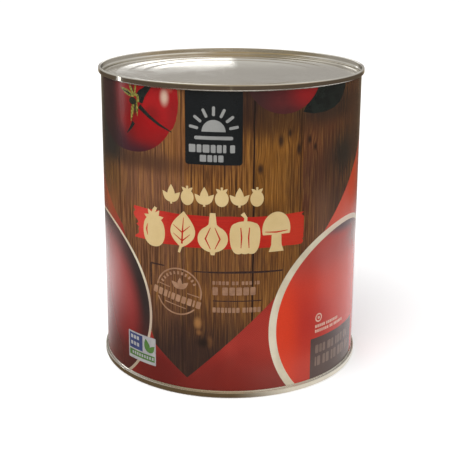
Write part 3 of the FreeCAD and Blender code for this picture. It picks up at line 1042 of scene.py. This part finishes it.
printed("top_tomato", airbrushed(two_tone((88, 36, 37), (78, 32, 34), scale=0.05, blur=0.2), (
    (10.0, 172.0, 10.0, 18.0, 0.7, 0.8, (52, 36, 35)),
    (44.0, 174.0, 10.0, 10.0, 0.8, 0.95, (138, 28, 30)),
    (28.0, 162.0, 14.0, 3.0, 0.9, 0.5, (58, 34, 34)),
)))
printed("dark_leaf", two_tone((32, 37, 34), (26, 29, 28)))
printed("calyx", two_tone((142, 132, 62), (66, 74, 30), scale=0.75), mottle=0.15)
printed("calyx_shade", two_tone((32, 34, 26), (42, 44, 28)))
print("tomatoes painted")

# %% [markdown]
# ## Flat inks
#
# The rest is flat colour: the brush stroke, the cream of the title, the plaque and its grey, the
# tan of the small print on wood, the sticker and the weight panel. Flat ink still varies a little,
# so each has two close tones. Large flat areas drift slowly and mottle least. The stroke is
# dry-brushed, with long streaks.

# %% Mix the flat inks
BROAD = {"scale": 0.05}
CALM, EVEN, ROUGH = 0.03, 0.06, 0.08

printed("brush_red", airbrushed(two_tone((170, 32, 20), (160, 28, 18), scale=1.0, stretch=(0.03, 1.1, 1.0)), (
    (38.0, 97.0, 16.0, 14.0, 0.8, 0.5, (192, 56, 30)),
    (-54.0, 97.0, 14.0, 14.0, 0.8, 0.7, (196, 66, 54)),
)))
for name, first, second, clouds, mottle in (
        ("title_cream", (201, 176, 127), (194, 168, 118), BROAD, CALM),
        ("plaque", (25, 28, 30), (22, 25, 27), BROAD, CALM),
        ("plaque_grey", (140, 140, 137), (132, 132, 130), BROAD, CALM),
        ("badge_tan", (156, 119, 92), (140, 104, 78), {}, ROUGH),
        ("small_tan", (148, 112, 86), (132, 98, 76), {}, ROUGH),
        ("sticker_pale", (160, 158, 156), (146, 144, 146), {}, EVEN),
        ("sticker_blue", (58, 66, 104), (50, 58, 94), {}, EVEN),
        ("sticker_green", (78, 112, 56), (66, 98, 50), {}, EVEN),
        ("weight_panel", (84, 65, 61), (78, 60, 57), BROAD, CALM),
        ("weight_bars", (122, 100, 90), (114, 94, 84), {}, EVEN),
        ("note_pale", (214, 176, 158), (200, 160, 142), {}, EVEN)):
    printed(name, two_tone(first, second, **clouds), mottle)
print(len(print_materials), "inks,", sorted(set(field_names) - set(print_materials)), "missing")

# %% [markdown]
# ## Making the label's pieces
#
# Each field becomes one object: its triangles stand flat at y = 0, facing the viewer, and the roll
# tree does the rest. The rolled mesh keeps the flat place of every corner in its `print` map. The
# surface normals are then written in, straight out from the axis, because the triangles are
# long and thin and averaging them would make the varnish look dented.

# %% Cut one flat piece
def flat_piece(name, faces):
    """Make the flat object of one field, with its place on the sheet as its print map."""
    used, renumbered = np.unique(faces, return_inverse=True)
    places = cut_points[used]
    faces = renumbered.reshape(faces.shape)
    corner = places[faces]
    turn = np.cross(corner[:, 1] - corner[:, 0], corner[:, 2] - corner[:, 0])
    faces[turn < 0] = faces[turn < 0][:, ::-1]
    mesh = bpy.data.meshes.new(name)
    mesh.from_pydata([(x * MM, 0.0, z * MM) for x, z in places], [], faces.tolist())
    layer = mesh.uv_layers.new(name=PRINT_MAP)
    loops = np.array([loop.vertex_index for loop in mesh.loops])
    layer.data.foreach_set("uv", (places[loops] / PRINT_UNIT).ravel())
    return placed(bpy.data.objects.new(name, mesh))


def read(items, what, width=1, kind=float):
    """Read one property of every item at once, as an array with so many numbers to a row."""
    values = np.empty(len(items) * width, kind)
    items.foreach_get(what, values)
    return values.reshape(-1, width) if width > 1 else values


# %% [markdown]
# The piece gets a second map, `OFBake`, for anyone who bakes its paint into a picture. It is the
# flat sheet again, squeezed upwards: nearly all its height goes to the printed face, and the back
# and the cut edges, which nobody sees, share a thin band at the foot.

# %% Smooth the roll and lay out the second map
FRONT_BAND, BACK_BAND, EDGE_BAND = (0.05, 0.95), (0.0, 0.02), (0.03, 0.01)


def round_off(mesh):
    """Write normals that follow the roll, and lay out a second map to bake the paint through."""
    place = read(mesh.vertices, "co", 3)[read(mesh.loops, "vertex_index", kind=int)]
    sides = read(mesh.polygons, "loop_total", kind=int)
    face_normal = np.repeat(read(mesh.polygons, "normal", 3), sides, axis=0)
    flat_place = read(mesh.uv_layers[PRINT_MAP].data, "uv", 2) * PRINT_UNIT
    count = len(place)
    radius = np.hypot(place[:, 0], place[:, 1])
    outward = np.stack([place[:, 0] / radius, place[:, 1] / radius, np.zeros(count)], 1)
    along = np.stack([-outward[:, 1], outward[:, 0], np.zeros(count)], 1)
    on_ramp = (flat_place[:, 0] > LAP_START) & (flat_place[:, 0] < LAP_START + LAP_RAMP)
    sloped = outward - along * (on_ramp * PAPER / LAP_RAMP)[:, None]
    sloped /= np.linalg.norm(sloped, axis=1)[:, None]
    facing = (face_normal * outward).sum(1)
    on_front, on_back = facing > 0.5, facing < -0.5
    normal = np.where(on_front[:, None], sloped, np.where(on_back[:, None], -sloped, face_normal))
    mesh.shade_smooth()
    mesh.normals_split_custom_set(normal.tolist())
    low, high = flat_place.min(0), flat_place.max(0)
    share = (flat_place - low) / (high - low)
    start, span = (np.where(on_front, front, np.where(on_back, back, edge))
                   for front, back, edge in zip(FRONT_BAND, BACK_BAND, EDGE_BAND))
    share[:, 1] = start + span * share[:, 1]
    bake_map = mesh.uv_layers.new(name="OFBake")
    bake_map.data.foreach_set("uv", share.ravel())


# %% Make and roll the fields
triangles = 0
for index, name in enumerate(field_names):
    piece = flat_piece("label_" + name, cut_faces[owner == index])
    mesh = run_tree(piece, roll_tree, roll_sockets, Radius=LABEL_RADIUS * MM, Paper=PAPER * MM,
                    Lap_start=LAP_START * MM, Lap_ramp=LAP_RAMP * MM, Material=print_materials[name])
    round_off(mesh)
    triangles += sum(len(face.vertices) - 2 for face in mesh.polygons)
    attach(piece, "root")
    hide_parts("label")
print(len(field_names), "paper pieces,", triangles, "triangles")

# %% [markdown]
# ## The two pressed ends
#
# A tin's end is pressed from one flat disc and is round to a hair, so it is a turned shape: one
# section, swept round the axis. The section is a folded path. It starts at the axis, climbs the
# dish and three shallow rings, drops into the groove, goes up the wall and folds over into the
# double seam, where its edge is tucked back inside. Both faces of the plate are this path moved
# half a plate to either side.
#
# The corners are round, and each arc is stepped finely enough to look smooth. Each point also keeps
# the direction its surface faces, so the shading is exact and the wide flats don't pick up a
# gradient from the small arcs beside them.

# %% Fold the section of an end
SEAM_HEIGHT, SEAM_TOP_BEND, HOOK_ROOM = 3.15, 0.55, 0.45
FLARE, FLARE_RISE, FLARE_BEND, FLARE_BELOW_SEAM = 0.60, 0.85, 0.70, 0.25
COUNTERSINK, GROOVE_BEND, PANEL_RISE, PANEL_BEND = 5.40, 0.60, 1.40, 0.50
RING_COUNT, RING_WIDTH, RING_STEP, RING_RUN, RING_BEND = 3, 8.0, 0.45, 6.00, 24.0
DISH_DEPTH, DISH_SHARE = 1.30, 0.95
ARC_STEP = math.radians(14)
WIDE_BEND, DISH_STEPS = 100, 12


def end_corners():
    """Return the end's path at mid plate as (radius, height, bend), from the axis to the hook."""
    layer = END_PLATE + BODY_PLATE + 2 * PLATE_GAP
    seaming_wall = SEAM_RADIUS - END_PLATE / 2
    chuck_wall = seaming_wall - 2 * layer
    plug_wall = chuck_wall - FLARE
    seam_foot = TIN_HEIGHT - SEAM_HEIGHT
    seam_top = TIN_HEIGHT - END_PLATE / 2
    groove = TIN_HEIGHT - COUNTERSINK - END_PLATE / 2
    flare_foot = seam_foot - FLARE_BELOW_SEAM
    edge = plug_wall - 2 * GROOVE_BEND
    plateau = groove + PANEL_RISE
    centre_radius = edge - RING_COUNT * RING_WIDTH - RING_RUN
    centre_height = plateau - RING_COUNT * RING_STEP
    half_slope = math.atan2(DISH_DEPTH, centre_radius / 2) / 2
    dish_bend = DISH_SHARE * centre_radius / 2 / math.tan(half_slope)
    corners = [(0, centre_height - DISH_DEPTH, 0), (centre_radius / 2, centre_height - DISH_DEPTH, dish_bend)]
    for ring in range(RING_COUNT, 0, -1):
        radius = edge - ring * RING_WIDTH
        height = plateau - ring * RING_STEP
        corners += [(radius - RING_RUN, height, RING_BEND), (radius, height + RING_STEP, RING_BEND)]
    corners += [(edge, plateau, PANEL_BEND), (edge, groove, GROOVE_BEND), (plug_wall, groove, GROOVE_BEND)]
    corners += [(plug_wall, flare_foot, FLARE_BEND), (chuck_wall, flare_foot + FLARE_RISE, FLARE_BEND / 2)]
    corners += [(chuck_wall, seam_top, SEAM_TOP_BEND), (seaming_wall, seam_top, SEAM_TOP_BEND)]
    loop = seam_foot + END_PLATE / 2
    end_hook = seaming_wall - layer
    hook_tip = seam_top - END_PLATE / 2 - PLATE_GAP - BODY_PLATE - HOOK_ROOM
    corners += [(seaming_wall, loop, layer / 2), (end_hook, loop, layer / 2), (end_hook, hook_tip, 0)]
    return corners


def plate_face(corners, distance):
    """Return points (radius, height, facing out, facing up) of one face of the plate."""
    points = []
    facing = math.copysign(1, distance)
    for index, (radius, height, bend) in enumerate(corners):
        before = after = None
        if index > 0:
            before = Vector((radius - corners[index - 1][0], height - corners[index - 1][1])).normalized()
        if index + 1 < len(corners):
            after = Vector((corners[index + 1][0] - radius, corners[index + 1][1] - height)).normalized()
        if before is None or after is None:
            way = after or before
            points.append((radius + way.y * distance, height - way.x * distance,
                           way.y * facing, -way.x * facing))
            continue
        turn = -before.angle_signed(after)
        side = math.copysign(1, turn)
        reach = bend * math.tan(abs(turn) / 2)
        centre = Vector((radius, height)) - before * reach + Vector((-before.y, before.x)) * bend * side
        steps = DISH_STEPS if bend > WIDE_BEND else max(2, math.ceil(abs(turn) / ARC_STEP))
        for step in range(steps + 1):
            angle = turn * step / steps
            way = Vector((before.x * math.cos(angle) - before.y * math.sin(angle),
                          before.x * math.sin(angle) + before.y * math.cos(angle)))
            right = Vector((way.y, -way.x))
            spot = centre + right * (bend * side + distance)
            points.append((spot.x, spot.y, right.x * facing, right.y * facing))
    return points


plate_corners = end_corners()
section = plate_face(plate_corners, -END_PLATE / 2) + plate_face(plate_corners, END_PLATE / 2)[::-1]
print(len(section), "points in the section, from", [round(v, 2) for v in section[0][:2]])

# %% [markdown]
# The lathe itself is a Geometry Nodes tree: a circle curve carries the section round, with the
# points on the axis welded into one pole at the end. In `Curve to Mesh` the section is drawn in its
# own XY plane, and its x is measured from the circle, so the radius of the circle comes off first.

# %% Build the lathe tree
LATHE_SEGMENTS = 180
GUIDE_RADIUS = 0.03
POLE_DISTANCE = 2e-6

lathe_tree, recipe, given, lathe_sockets = new_shaping(
    "lathe", [("Segments", "NodeSocketInt"), ("Guide radius", "NodeSocketFloat")])
guide = recipe.node("GeometryNodeCurvePrimitiveCircle", {"Resolution": given["Segments"],
                                                         "Radius": given["Guide radius"]}, mode="RADIUS")
profile = recipe.node("GeometryNodeMeshToCurve", {"Mesh": given["Geometry"]})
swept = recipe.node("GeometryNodeCurveToMesh", {"Curve": guide.outputs["Curve"],
                                                "Profile Curve": profile.outputs[0]})
poles = recipe.node("GeometryNodeMergeByDistance", {"Geometry": swept.outputs[0], "Distance": POLE_DISTANCE})
end_shaping(recipe, poles.outputs[0], given)
print("lathe tree has", len(lathe_tree.nodes), "nodes")

# %% [markdown]
# ## Tinplate
#
# Tinplate is steel with a thin bright coat of tin. It mirrors the room, a little blurred along the
# grain that the rolls left in the plate. The ends also carry faint rub marks from the stack, and
# the seam a slight ripple from the seaming rolls. All of this is roughness and a touch of bump: a
# metal's look is mostly its surroundings.

# %% Make the tinplate finishes
metal_group, recipe, given, result = new_group(
    "rolled plate",
    [("Place", "NodeSocketVector", None), ("Grain", "NodeSocketFloat", 0.05),
     ("Base", "NodeSocketFloat", 0.2)],
    SURFACE)
grain = recipe.noise(given["Place"], 1000.0, detail=3.0, rough=0.6, stretch=(0.05, 2.4, 0.6))
clouds = recipe.noise(given["Place"], 60.0, detail=3.0, rough=0.5)
rubs = recipe.noise(given["Place"], 1000.0, detail=2.0, stretch=(0.55, 0.02, 0.3), warp=0.4)
ripple = recipe.noise(given["Place"], 55.0, detail=1.0)
spread = recipe.math("MULTIPLY", recipe.math("SUBTRACT", grain, 0.5), given["Grain"])
spread = recipe.math("ADD", spread, recipe.steps(clouds, 0.35, 0.65, -0.02, 0.03))
blur = recipe.math("ADD", given["Base"], spread)
blur = recipe.math("ADD", blur, recipe.steps(rubs, 0.62, 0.74, 0.0, 0.04), clamp=True)
tin_colour = recipe.mix(recipe.steps(clouds, 0.35, 0.65), (231, 228, 220), (224, 221, 214))
tin_colour = recipe.mix(recipe.steps(grain, 0.3, 0.7, 0.0, 0.25), tin_colour, (208, 205, 198))
relief = recipe.node("ShaderNodeBump", {"Height": grain, "Distance": 0.000004, "Strength": 1.0})
relief = recipe.node("ShaderNodeBump", {"Height": ripple, "Distance": 0.00002, "Normal": relief.outputs[0]})
for name, value in (("Colour", tin_colour), ("Roughness", blur), ("Normal", relief.outputs[0])):
    recipe.feed(result[name], value)


def tinplate(name, base, grain):
    """Make a tinplate finish; base is how blurred it is, and grain how unevenly."""
    material, recipe, shader = new_finish(name, Metallic=1.0)
    place = recipe.node("ShaderNodeTexCoord").outputs["Object"]
    wear(recipe, shader, recipe.group(metal_group, Place=place, Grain=grain, Base=base))
    return material


end_finish = tinplate("tinplate_end", base=0.095, grain=0.05)
body_finish = tinplate("tinplate_body", base=0.26, grain=0.10)
print("two tinplate finishes")

# %% [markdown]
# The section goes onto the lathe as a flat line. It carries the two numbers of its facing along as
# attributes, because the sweep keeps those, and they become the normals once the end is a mesh.
# The bottom end is the same section mirrored about mid height, and run backwards so that its faces
# still point outwards.

# %% Turn the ends
FACING = ("facing_out", "facing_up")


def turned_end(name, upside_down=False):
    """Make an end on the lathe; its section is mirrored about mid height for the bottom end."""
    outline, facings = [], []
    for radius, height, facing_out, facing_up in section[::-1] if upside_down else section:
        tall = TIN_HEIGHT - height if upside_down else height
        outline.append((radius * MM - GUIDE_RADIUS, -tall * MM, 0.0))
        facings.append((facing_out, -facing_up if upside_down else facing_up))
    line = bpy.data.meshes.new(name)
    line.from_pydata(outline, [(i, i + 1) for i in range(len(outline) - 1)], [])
    for axis, values in zip(FACING, zip(*facings)):
        line.attributes.new(axis, "FLOAT", "POINT").data.foreach_set("value", values)
    piece = placed(bpy.data.objects.new(name, line))
    mesh = run_tree(piece, lathe_tree, lathe_sockets, Segments=LATHE_SEGMENTS, Guide_radius=GUIDE_RADIUS,
                    Material=end_finish)
    out, up = (read(mesh.attributes[axis].data, "value") for axis in FACING)
    place = read(mesh.vertices, "co", 3)
    radius = np.maximum(np.hypot(place[:, 0], place[:, 1]), 1e-9)
    normal = np.stack([out * place[:, 0] / radius, out * place[:, 1] / radius, up], 1)
    normal /= np.linalg.norm(normal, axis=1)[:, None]
    mesh.shade_smooth()
    mesh.normals_split_custom_set_from_vertices(normal.tolist())
    for axis in FACING:
        mesh.attributes.remove(mesh.attributes[axis])
    return piece


for name in ("top_end", "bottom_end"):
    piece = turned_end(name + "_plate", upside_down=name == "bottom_end")
    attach(piece, "root")
    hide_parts(name)

for material_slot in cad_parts["can_body"].material_slots:
    material_slot.material = body_finish

# %% [markdown]
# ## The floor
#
# A tin is half mirror, so what stands round it matters as much as the lamps. The camera sees a pale
# floor that runs off to plain white: the floor's own colour, with a lift that grows away from the
# tin. That lift is an emission that only camera, glossy and transmission rays read, so it adds no
# light to the paint or the floor, and the tin keeps its shadow.
#
# Mirror-like surfaces see something else, and this is a choice. A white sheet all round would turn
# lid, seams and varnish white. So a glossy ray finds the white sheet only close behind the tin and
# beside it, on the side where light falls, and elsewhere a darker, warm floor, a little lighter
# straight behind; in front of the tin that darker floor is painted shade. Close in front of the
# lower seam the floor carries painted light and shade: a brown painted shadow on the left and a
# cream painted lit patch on the right.

# %% Lay the floor
FLOOR_REACH, FLOOR_SIDES, FLOOR_DROP = 3.0, 96, 0.0002
floor_rim = []
for corner in range(FLOOR_SIDES):
    angle = 2 * math.pi * corner / FLOOR_SIDES
    floor_rim.append((FLOOR_REACH * math.cos(angle), FLOOR_REACH * math.sin(angle), -FLOOR_DROP))
floor_mesh = bpy.data.meshes.new("floor")
floor_mesh.from_pydata(floor_rim, [], [list(range(FLOOR_SIDES))])
floor = placed(bpy.data.objects.new("floor", floor_mesh))
floor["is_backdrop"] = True
print("floor", 2 * FLOOR_REACH, "m across")

# %% Paint the floor
FLOOR_WHITE, PLAIN_WHITE = (236, 236, 236), (255, 255, 255)
# The white sheet and the foot are soft ovals: (x, y, reach x, reach y, softness), in metres.
SHEET = (0.04, 0.03, 0.30, 0.30, 0.25)
FOOT = (0.0, 0.0, 0.115, 0.115, 0.15)
AWAY_ASIDE, AWAY_BEHIND = (92, 80, 68), (164, 150, 128)
# The foot colours are painted light and shade: brown is a painted shadow left of the lower seam, cream a
# painted lit patch right of it, both seen only in reflections.
FOOT_SHADOWED, FOOT_LIT = (102, 86, 64), (240, 232, 218)

floor_finish, recipe, shader = new_finish("pale floor", Roughness=0.9, Specular_IOR_Level=0.0)
recipe.feed(shader.inputs["Base Color"], FLOOR_WHITE)
rays = recipe.node("ShaderNodeLightPath").outputs
place = recipe.node("ShaderNodeTexCoord").outputs["Object"]
side = recipe.node("ShaderNodeSeparateXYZ", {0: place}).outputs

# Painted shade: the bright sheet stops in front of the tin, so the floor seen in reflections there is painted
# as lying in shade.
lit_side = recipe.steps(recipe.vector("DOT_PRODUCT", place, (0.25, 1.0, 0.0)), -0.06, 0.03)
bright_sheet = recipe.math("MULTIPLY", soft_spot(recipe, place, *SHEET), lit_side)
beyond_sheet = recipe.math("SUBTRACT", 1.0, bright_sheet)
mirrored = recipe.math("MULTIPLY", rays["Is Glossy Ray"], beyond_sheet)

aside = recipe.math("DIVIDE", recipe.math("ABSOLUTE", side["X"]), recipe.math("MAXIMUM", side["Y"], 0.01))
away_colour = recipe.mix(recipe.steps(aside, 0.36, 0.70, 1.0, 0.0), AWAY_ASIDE, AWAY_BEHIND)
# Painted shadow and painted lit floor by the lower seam, brown on the left and cream on the right.
foot_light_and_shade = recipe.mix(recipe.steps(side["X"], 0.0, 0.045), FOOT_SHADOWED, FOOT_LIT)
away_colour = recipe.mix(soft_spot(recipe, place, *FOOT), away_colour, foot_light_and_shade)
away = recipe.node("ShaderNodeEmission", {"Color": away_colour, "Strength": 1.0})

seen_plain = recipe.math("MAXIMUM", rays["Is Camera Ray"], rays["Is Transmission Ray"])
seen_plain = recipe.math("MAXIMUM", seen_plain, rays["Is Glossy Ray"])
lift = recipe.steps(recipe.vector("LENGTH", place), 0.3, 1.2, 0.23, 0.45)
lifted = recipe.node("ShaderNodeEmission", {"Color": PLAIN_WHITE,
                                            "Strength": recipe.math("MULTIPLY", seen_plain, lift)})
sheet = recipe.node("ShaderNodeAddShader", {0: shader.outputs[0], 1: lifted.outputs[0]})
shown = recipe.node("ShaderNodeMixShader", {0: mirrored, 1: sheet.outputs[0], 2: away.outputs[0]})
recipe.feed(recipe.tree.nodes["Material Output"].inputs["Surface"], shown.outputs[0])
floor_mesh.materials.append(floor_finish)
print("floor finish has", len(recipe.tree.nodes), "nodes")

# %% [markdown]
# ## The room
#
# The world is plain white to the camera, and a soft, slightly dimmed white light to everything
# matt. Only glossy rays see a room in it: warm walls in front, darker to the left, paler walls
# behind, and a light ceiling that is darker straight above on the right. That change in the
# ceiling is what shows the lid's rings from above.

# %% Paint the room
DIFFUSE_LEVEL = 0.78

world = bpy.data.worlds.new("soft room")
bpy.context.scene.world = world
world.use_nodes = True
recipe = Recipe(world.node_tree)
rays = recipe.node("ShaderNodeLightPath").outputs
direction = recipe.node("ShaderNodeTexCoord").outputs["Generated"]
way = recipe.node("ShaderNodeSeparateXYZ", {0: direction}).outputs


def towards(axis, start, end, first, second):
    """Mix two colours by a direction's x, y or z, from start to end."""
    return recipe.mix(recipe.steps(way[axis], start, end), first, second)


front_room = recipe.mix(recipe.steps(way["X"], -0.7, 0.0, 1.0, 0.0), (188, 173, 152), (138, 130, 112))
back_room = towards("Z", 0.19, 0.26, (172, 168, 162), (199, 196, 190))
walls = towards("Y", -0.3, 0.3, front_room, back_room)
front_ceiling = towards("X", 0.1, 0.5, (170, 152, 118), (236, 232, 222))
overhead = towards("X", -0.4, 0.4, (246, 244, 240), (178, 172, 162))
back_ceiling = towards("Z", 0.80, 0.92, (244, 242, 238), overhead)
ceiling = towards("Y", -0.15, 0.15, front_ceiling, back_ceiling)
room = recipe.mix(rays["Is Glossy Ray"], PLAIN_WHITE, towards("Z", 0.45, 0.85, walls, ceiling))
dimmed = recipe.math("MULTIPLY", rays["Is Diffuse Ray"], 1.0 - DIFFUSE_LEVEL)
background = world.node_tree.nodes["Background"].inputs
recipe.feed(background["Color"], room)
recipe.feed(background["Strength"], recipe.math("SUBTRACT", 1.0, dimmed))
print("room has", len(world.node_tree.nodes), "nodes")

# %% [markdown]
# ## The lamps
#
# One round key lamp, above in front on the left, lights the tin and makes its shadow. It stays out
# of reflections. The other three are cards of light that are there to be mirrored: a slanted window
# card behind, which lies as a bright band across the lid, a narrow strip far to the left, which is
# the upright streak on the varnish, and a low glow on the floor in front, which draws the second
# bright line under the top seam. The glow's beam is held to 45 degrees either side of straight up,
# so that it doesn't veil the label.
#
# A card's energy follows from how bright it should look: level times pi times its area. A lamp with
# a narrowed beam gets brighter by a factor that depends on the beam's half angle, and that comes
# off again.

# %% Hang the lamps
def hang(name, lamp_data, place):
    """Put a lamp into the scene; place is its matrix."""
    lamp = placed(bpy.data.objects.new(name, lamp_data))
    lamp.matrix_world = place
    return lamp


def card_of_light(name, wide, tall, level, place, beam=math.pi):
    """Hang a flat lamp that looks as bright as level, where 1 is white; the camera doesn't see it."""
    lamp_data = bpy.data.lights.new(name, "AREA")
    lamp_data.shape = "RECTANGLE"
    lamp_data.size, lamp_data.size_y = wide, tall
    lamp_data.spread = beam
    half = beam / 2
    narrowing = math.tan(half) / (math.tan(half) - half) if beam < math.pi else 1.0
    lamp_data.energy = level * math.pi * wide * tall / narrowing
    hang(name, lamp_data, place).visible_camera = False


def shining(place, way):
    """Return the matrix of a lamp at a place that shines along a way."""
    return Matrix.Translation(place) @ way.to_track_quat("-Z", "Y").to_matrix().to_4x4()


KEY_PLACE, KEY_TARGET = Vector((-0.35, -0.55, 1.25)), Vector((0, 0, 0.08))
key_data = bpy.data.lights.new("key", "AREA")
key_data.shape = "DISK"
key_data.size = 0.9
key_data.energy = 11.0
hang("key", key_data, shining(KEY_PLACE, KEY_TARGET - KEY_PLACE)).visible_glossy = False

WINDOW_WIDE, WINDOW_TALL = 0.13, 0.60
WINDOW_CORNER, WINDOW_SLANT = Vector((0.004, 0.50, 0.283)), math.radians(8)
leftwards = Vector((-math.cos(WINDOW_SLANT), 0, -math.sin(WINDOW_SLANT)))
upwards = Vector((-math.sin(WINDOW_SLANT), 0, math.cos(WINDOW_SLANT)))
window_middle = WINDOW_CORNER + leftwards * WINDOW_WIDE / 2 + upwards * WINDOW_TALL / 2
window_turn = Matrix((leftwards, upwards, (0, 1, 0))).transposed().to_4x4()
card_of_light("window", WINDOW_WIDE, WINDOW_TALL, 1.3, Matrix.Translation(window_middle) @ window_turn)

STRIP_MIDDLE = Vector((-0.53, 0.11, 0.115))
to_tin = Vector((-STRIP_MIDDLE.x, -STRIP_MIDDLE.y, 0)).normalized()
card_of_light("strip", 0.016, 0.10, 7.5, shining(STRIP_MIDDLE, to_tin))

GLOW_MIDDLE = Vector((0, -0.15, 0.0004))
card_of_light("glow", 0.32, 0.14, 1.3, Matrix.Translation(GLOW_MIDDLE) @ Matrix.Rotation(math.pi, 4, "X"),
              beam=math.radians(90))
print(len(bpy.data.lights), "lamps")

# %% [markdown]
# ## The view and the boxes
#
# The scene is set to the plain Standard view, which keeps a colour near to what was written.
# The two boxes, before and after dressing, are printed so their sizes can be compared.

# %% Finish
bpy.context.scene.view_settings.view_transform = "Standard"
visual_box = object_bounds()
boxes = {"cad": [list(corner) for corner in cad_box], "visual": [list(corner) for corner in visual_box]}
for name, corners in boxes.items():
    print(name, [[round(value / MM, 2) for value in corner] for corner in corners])
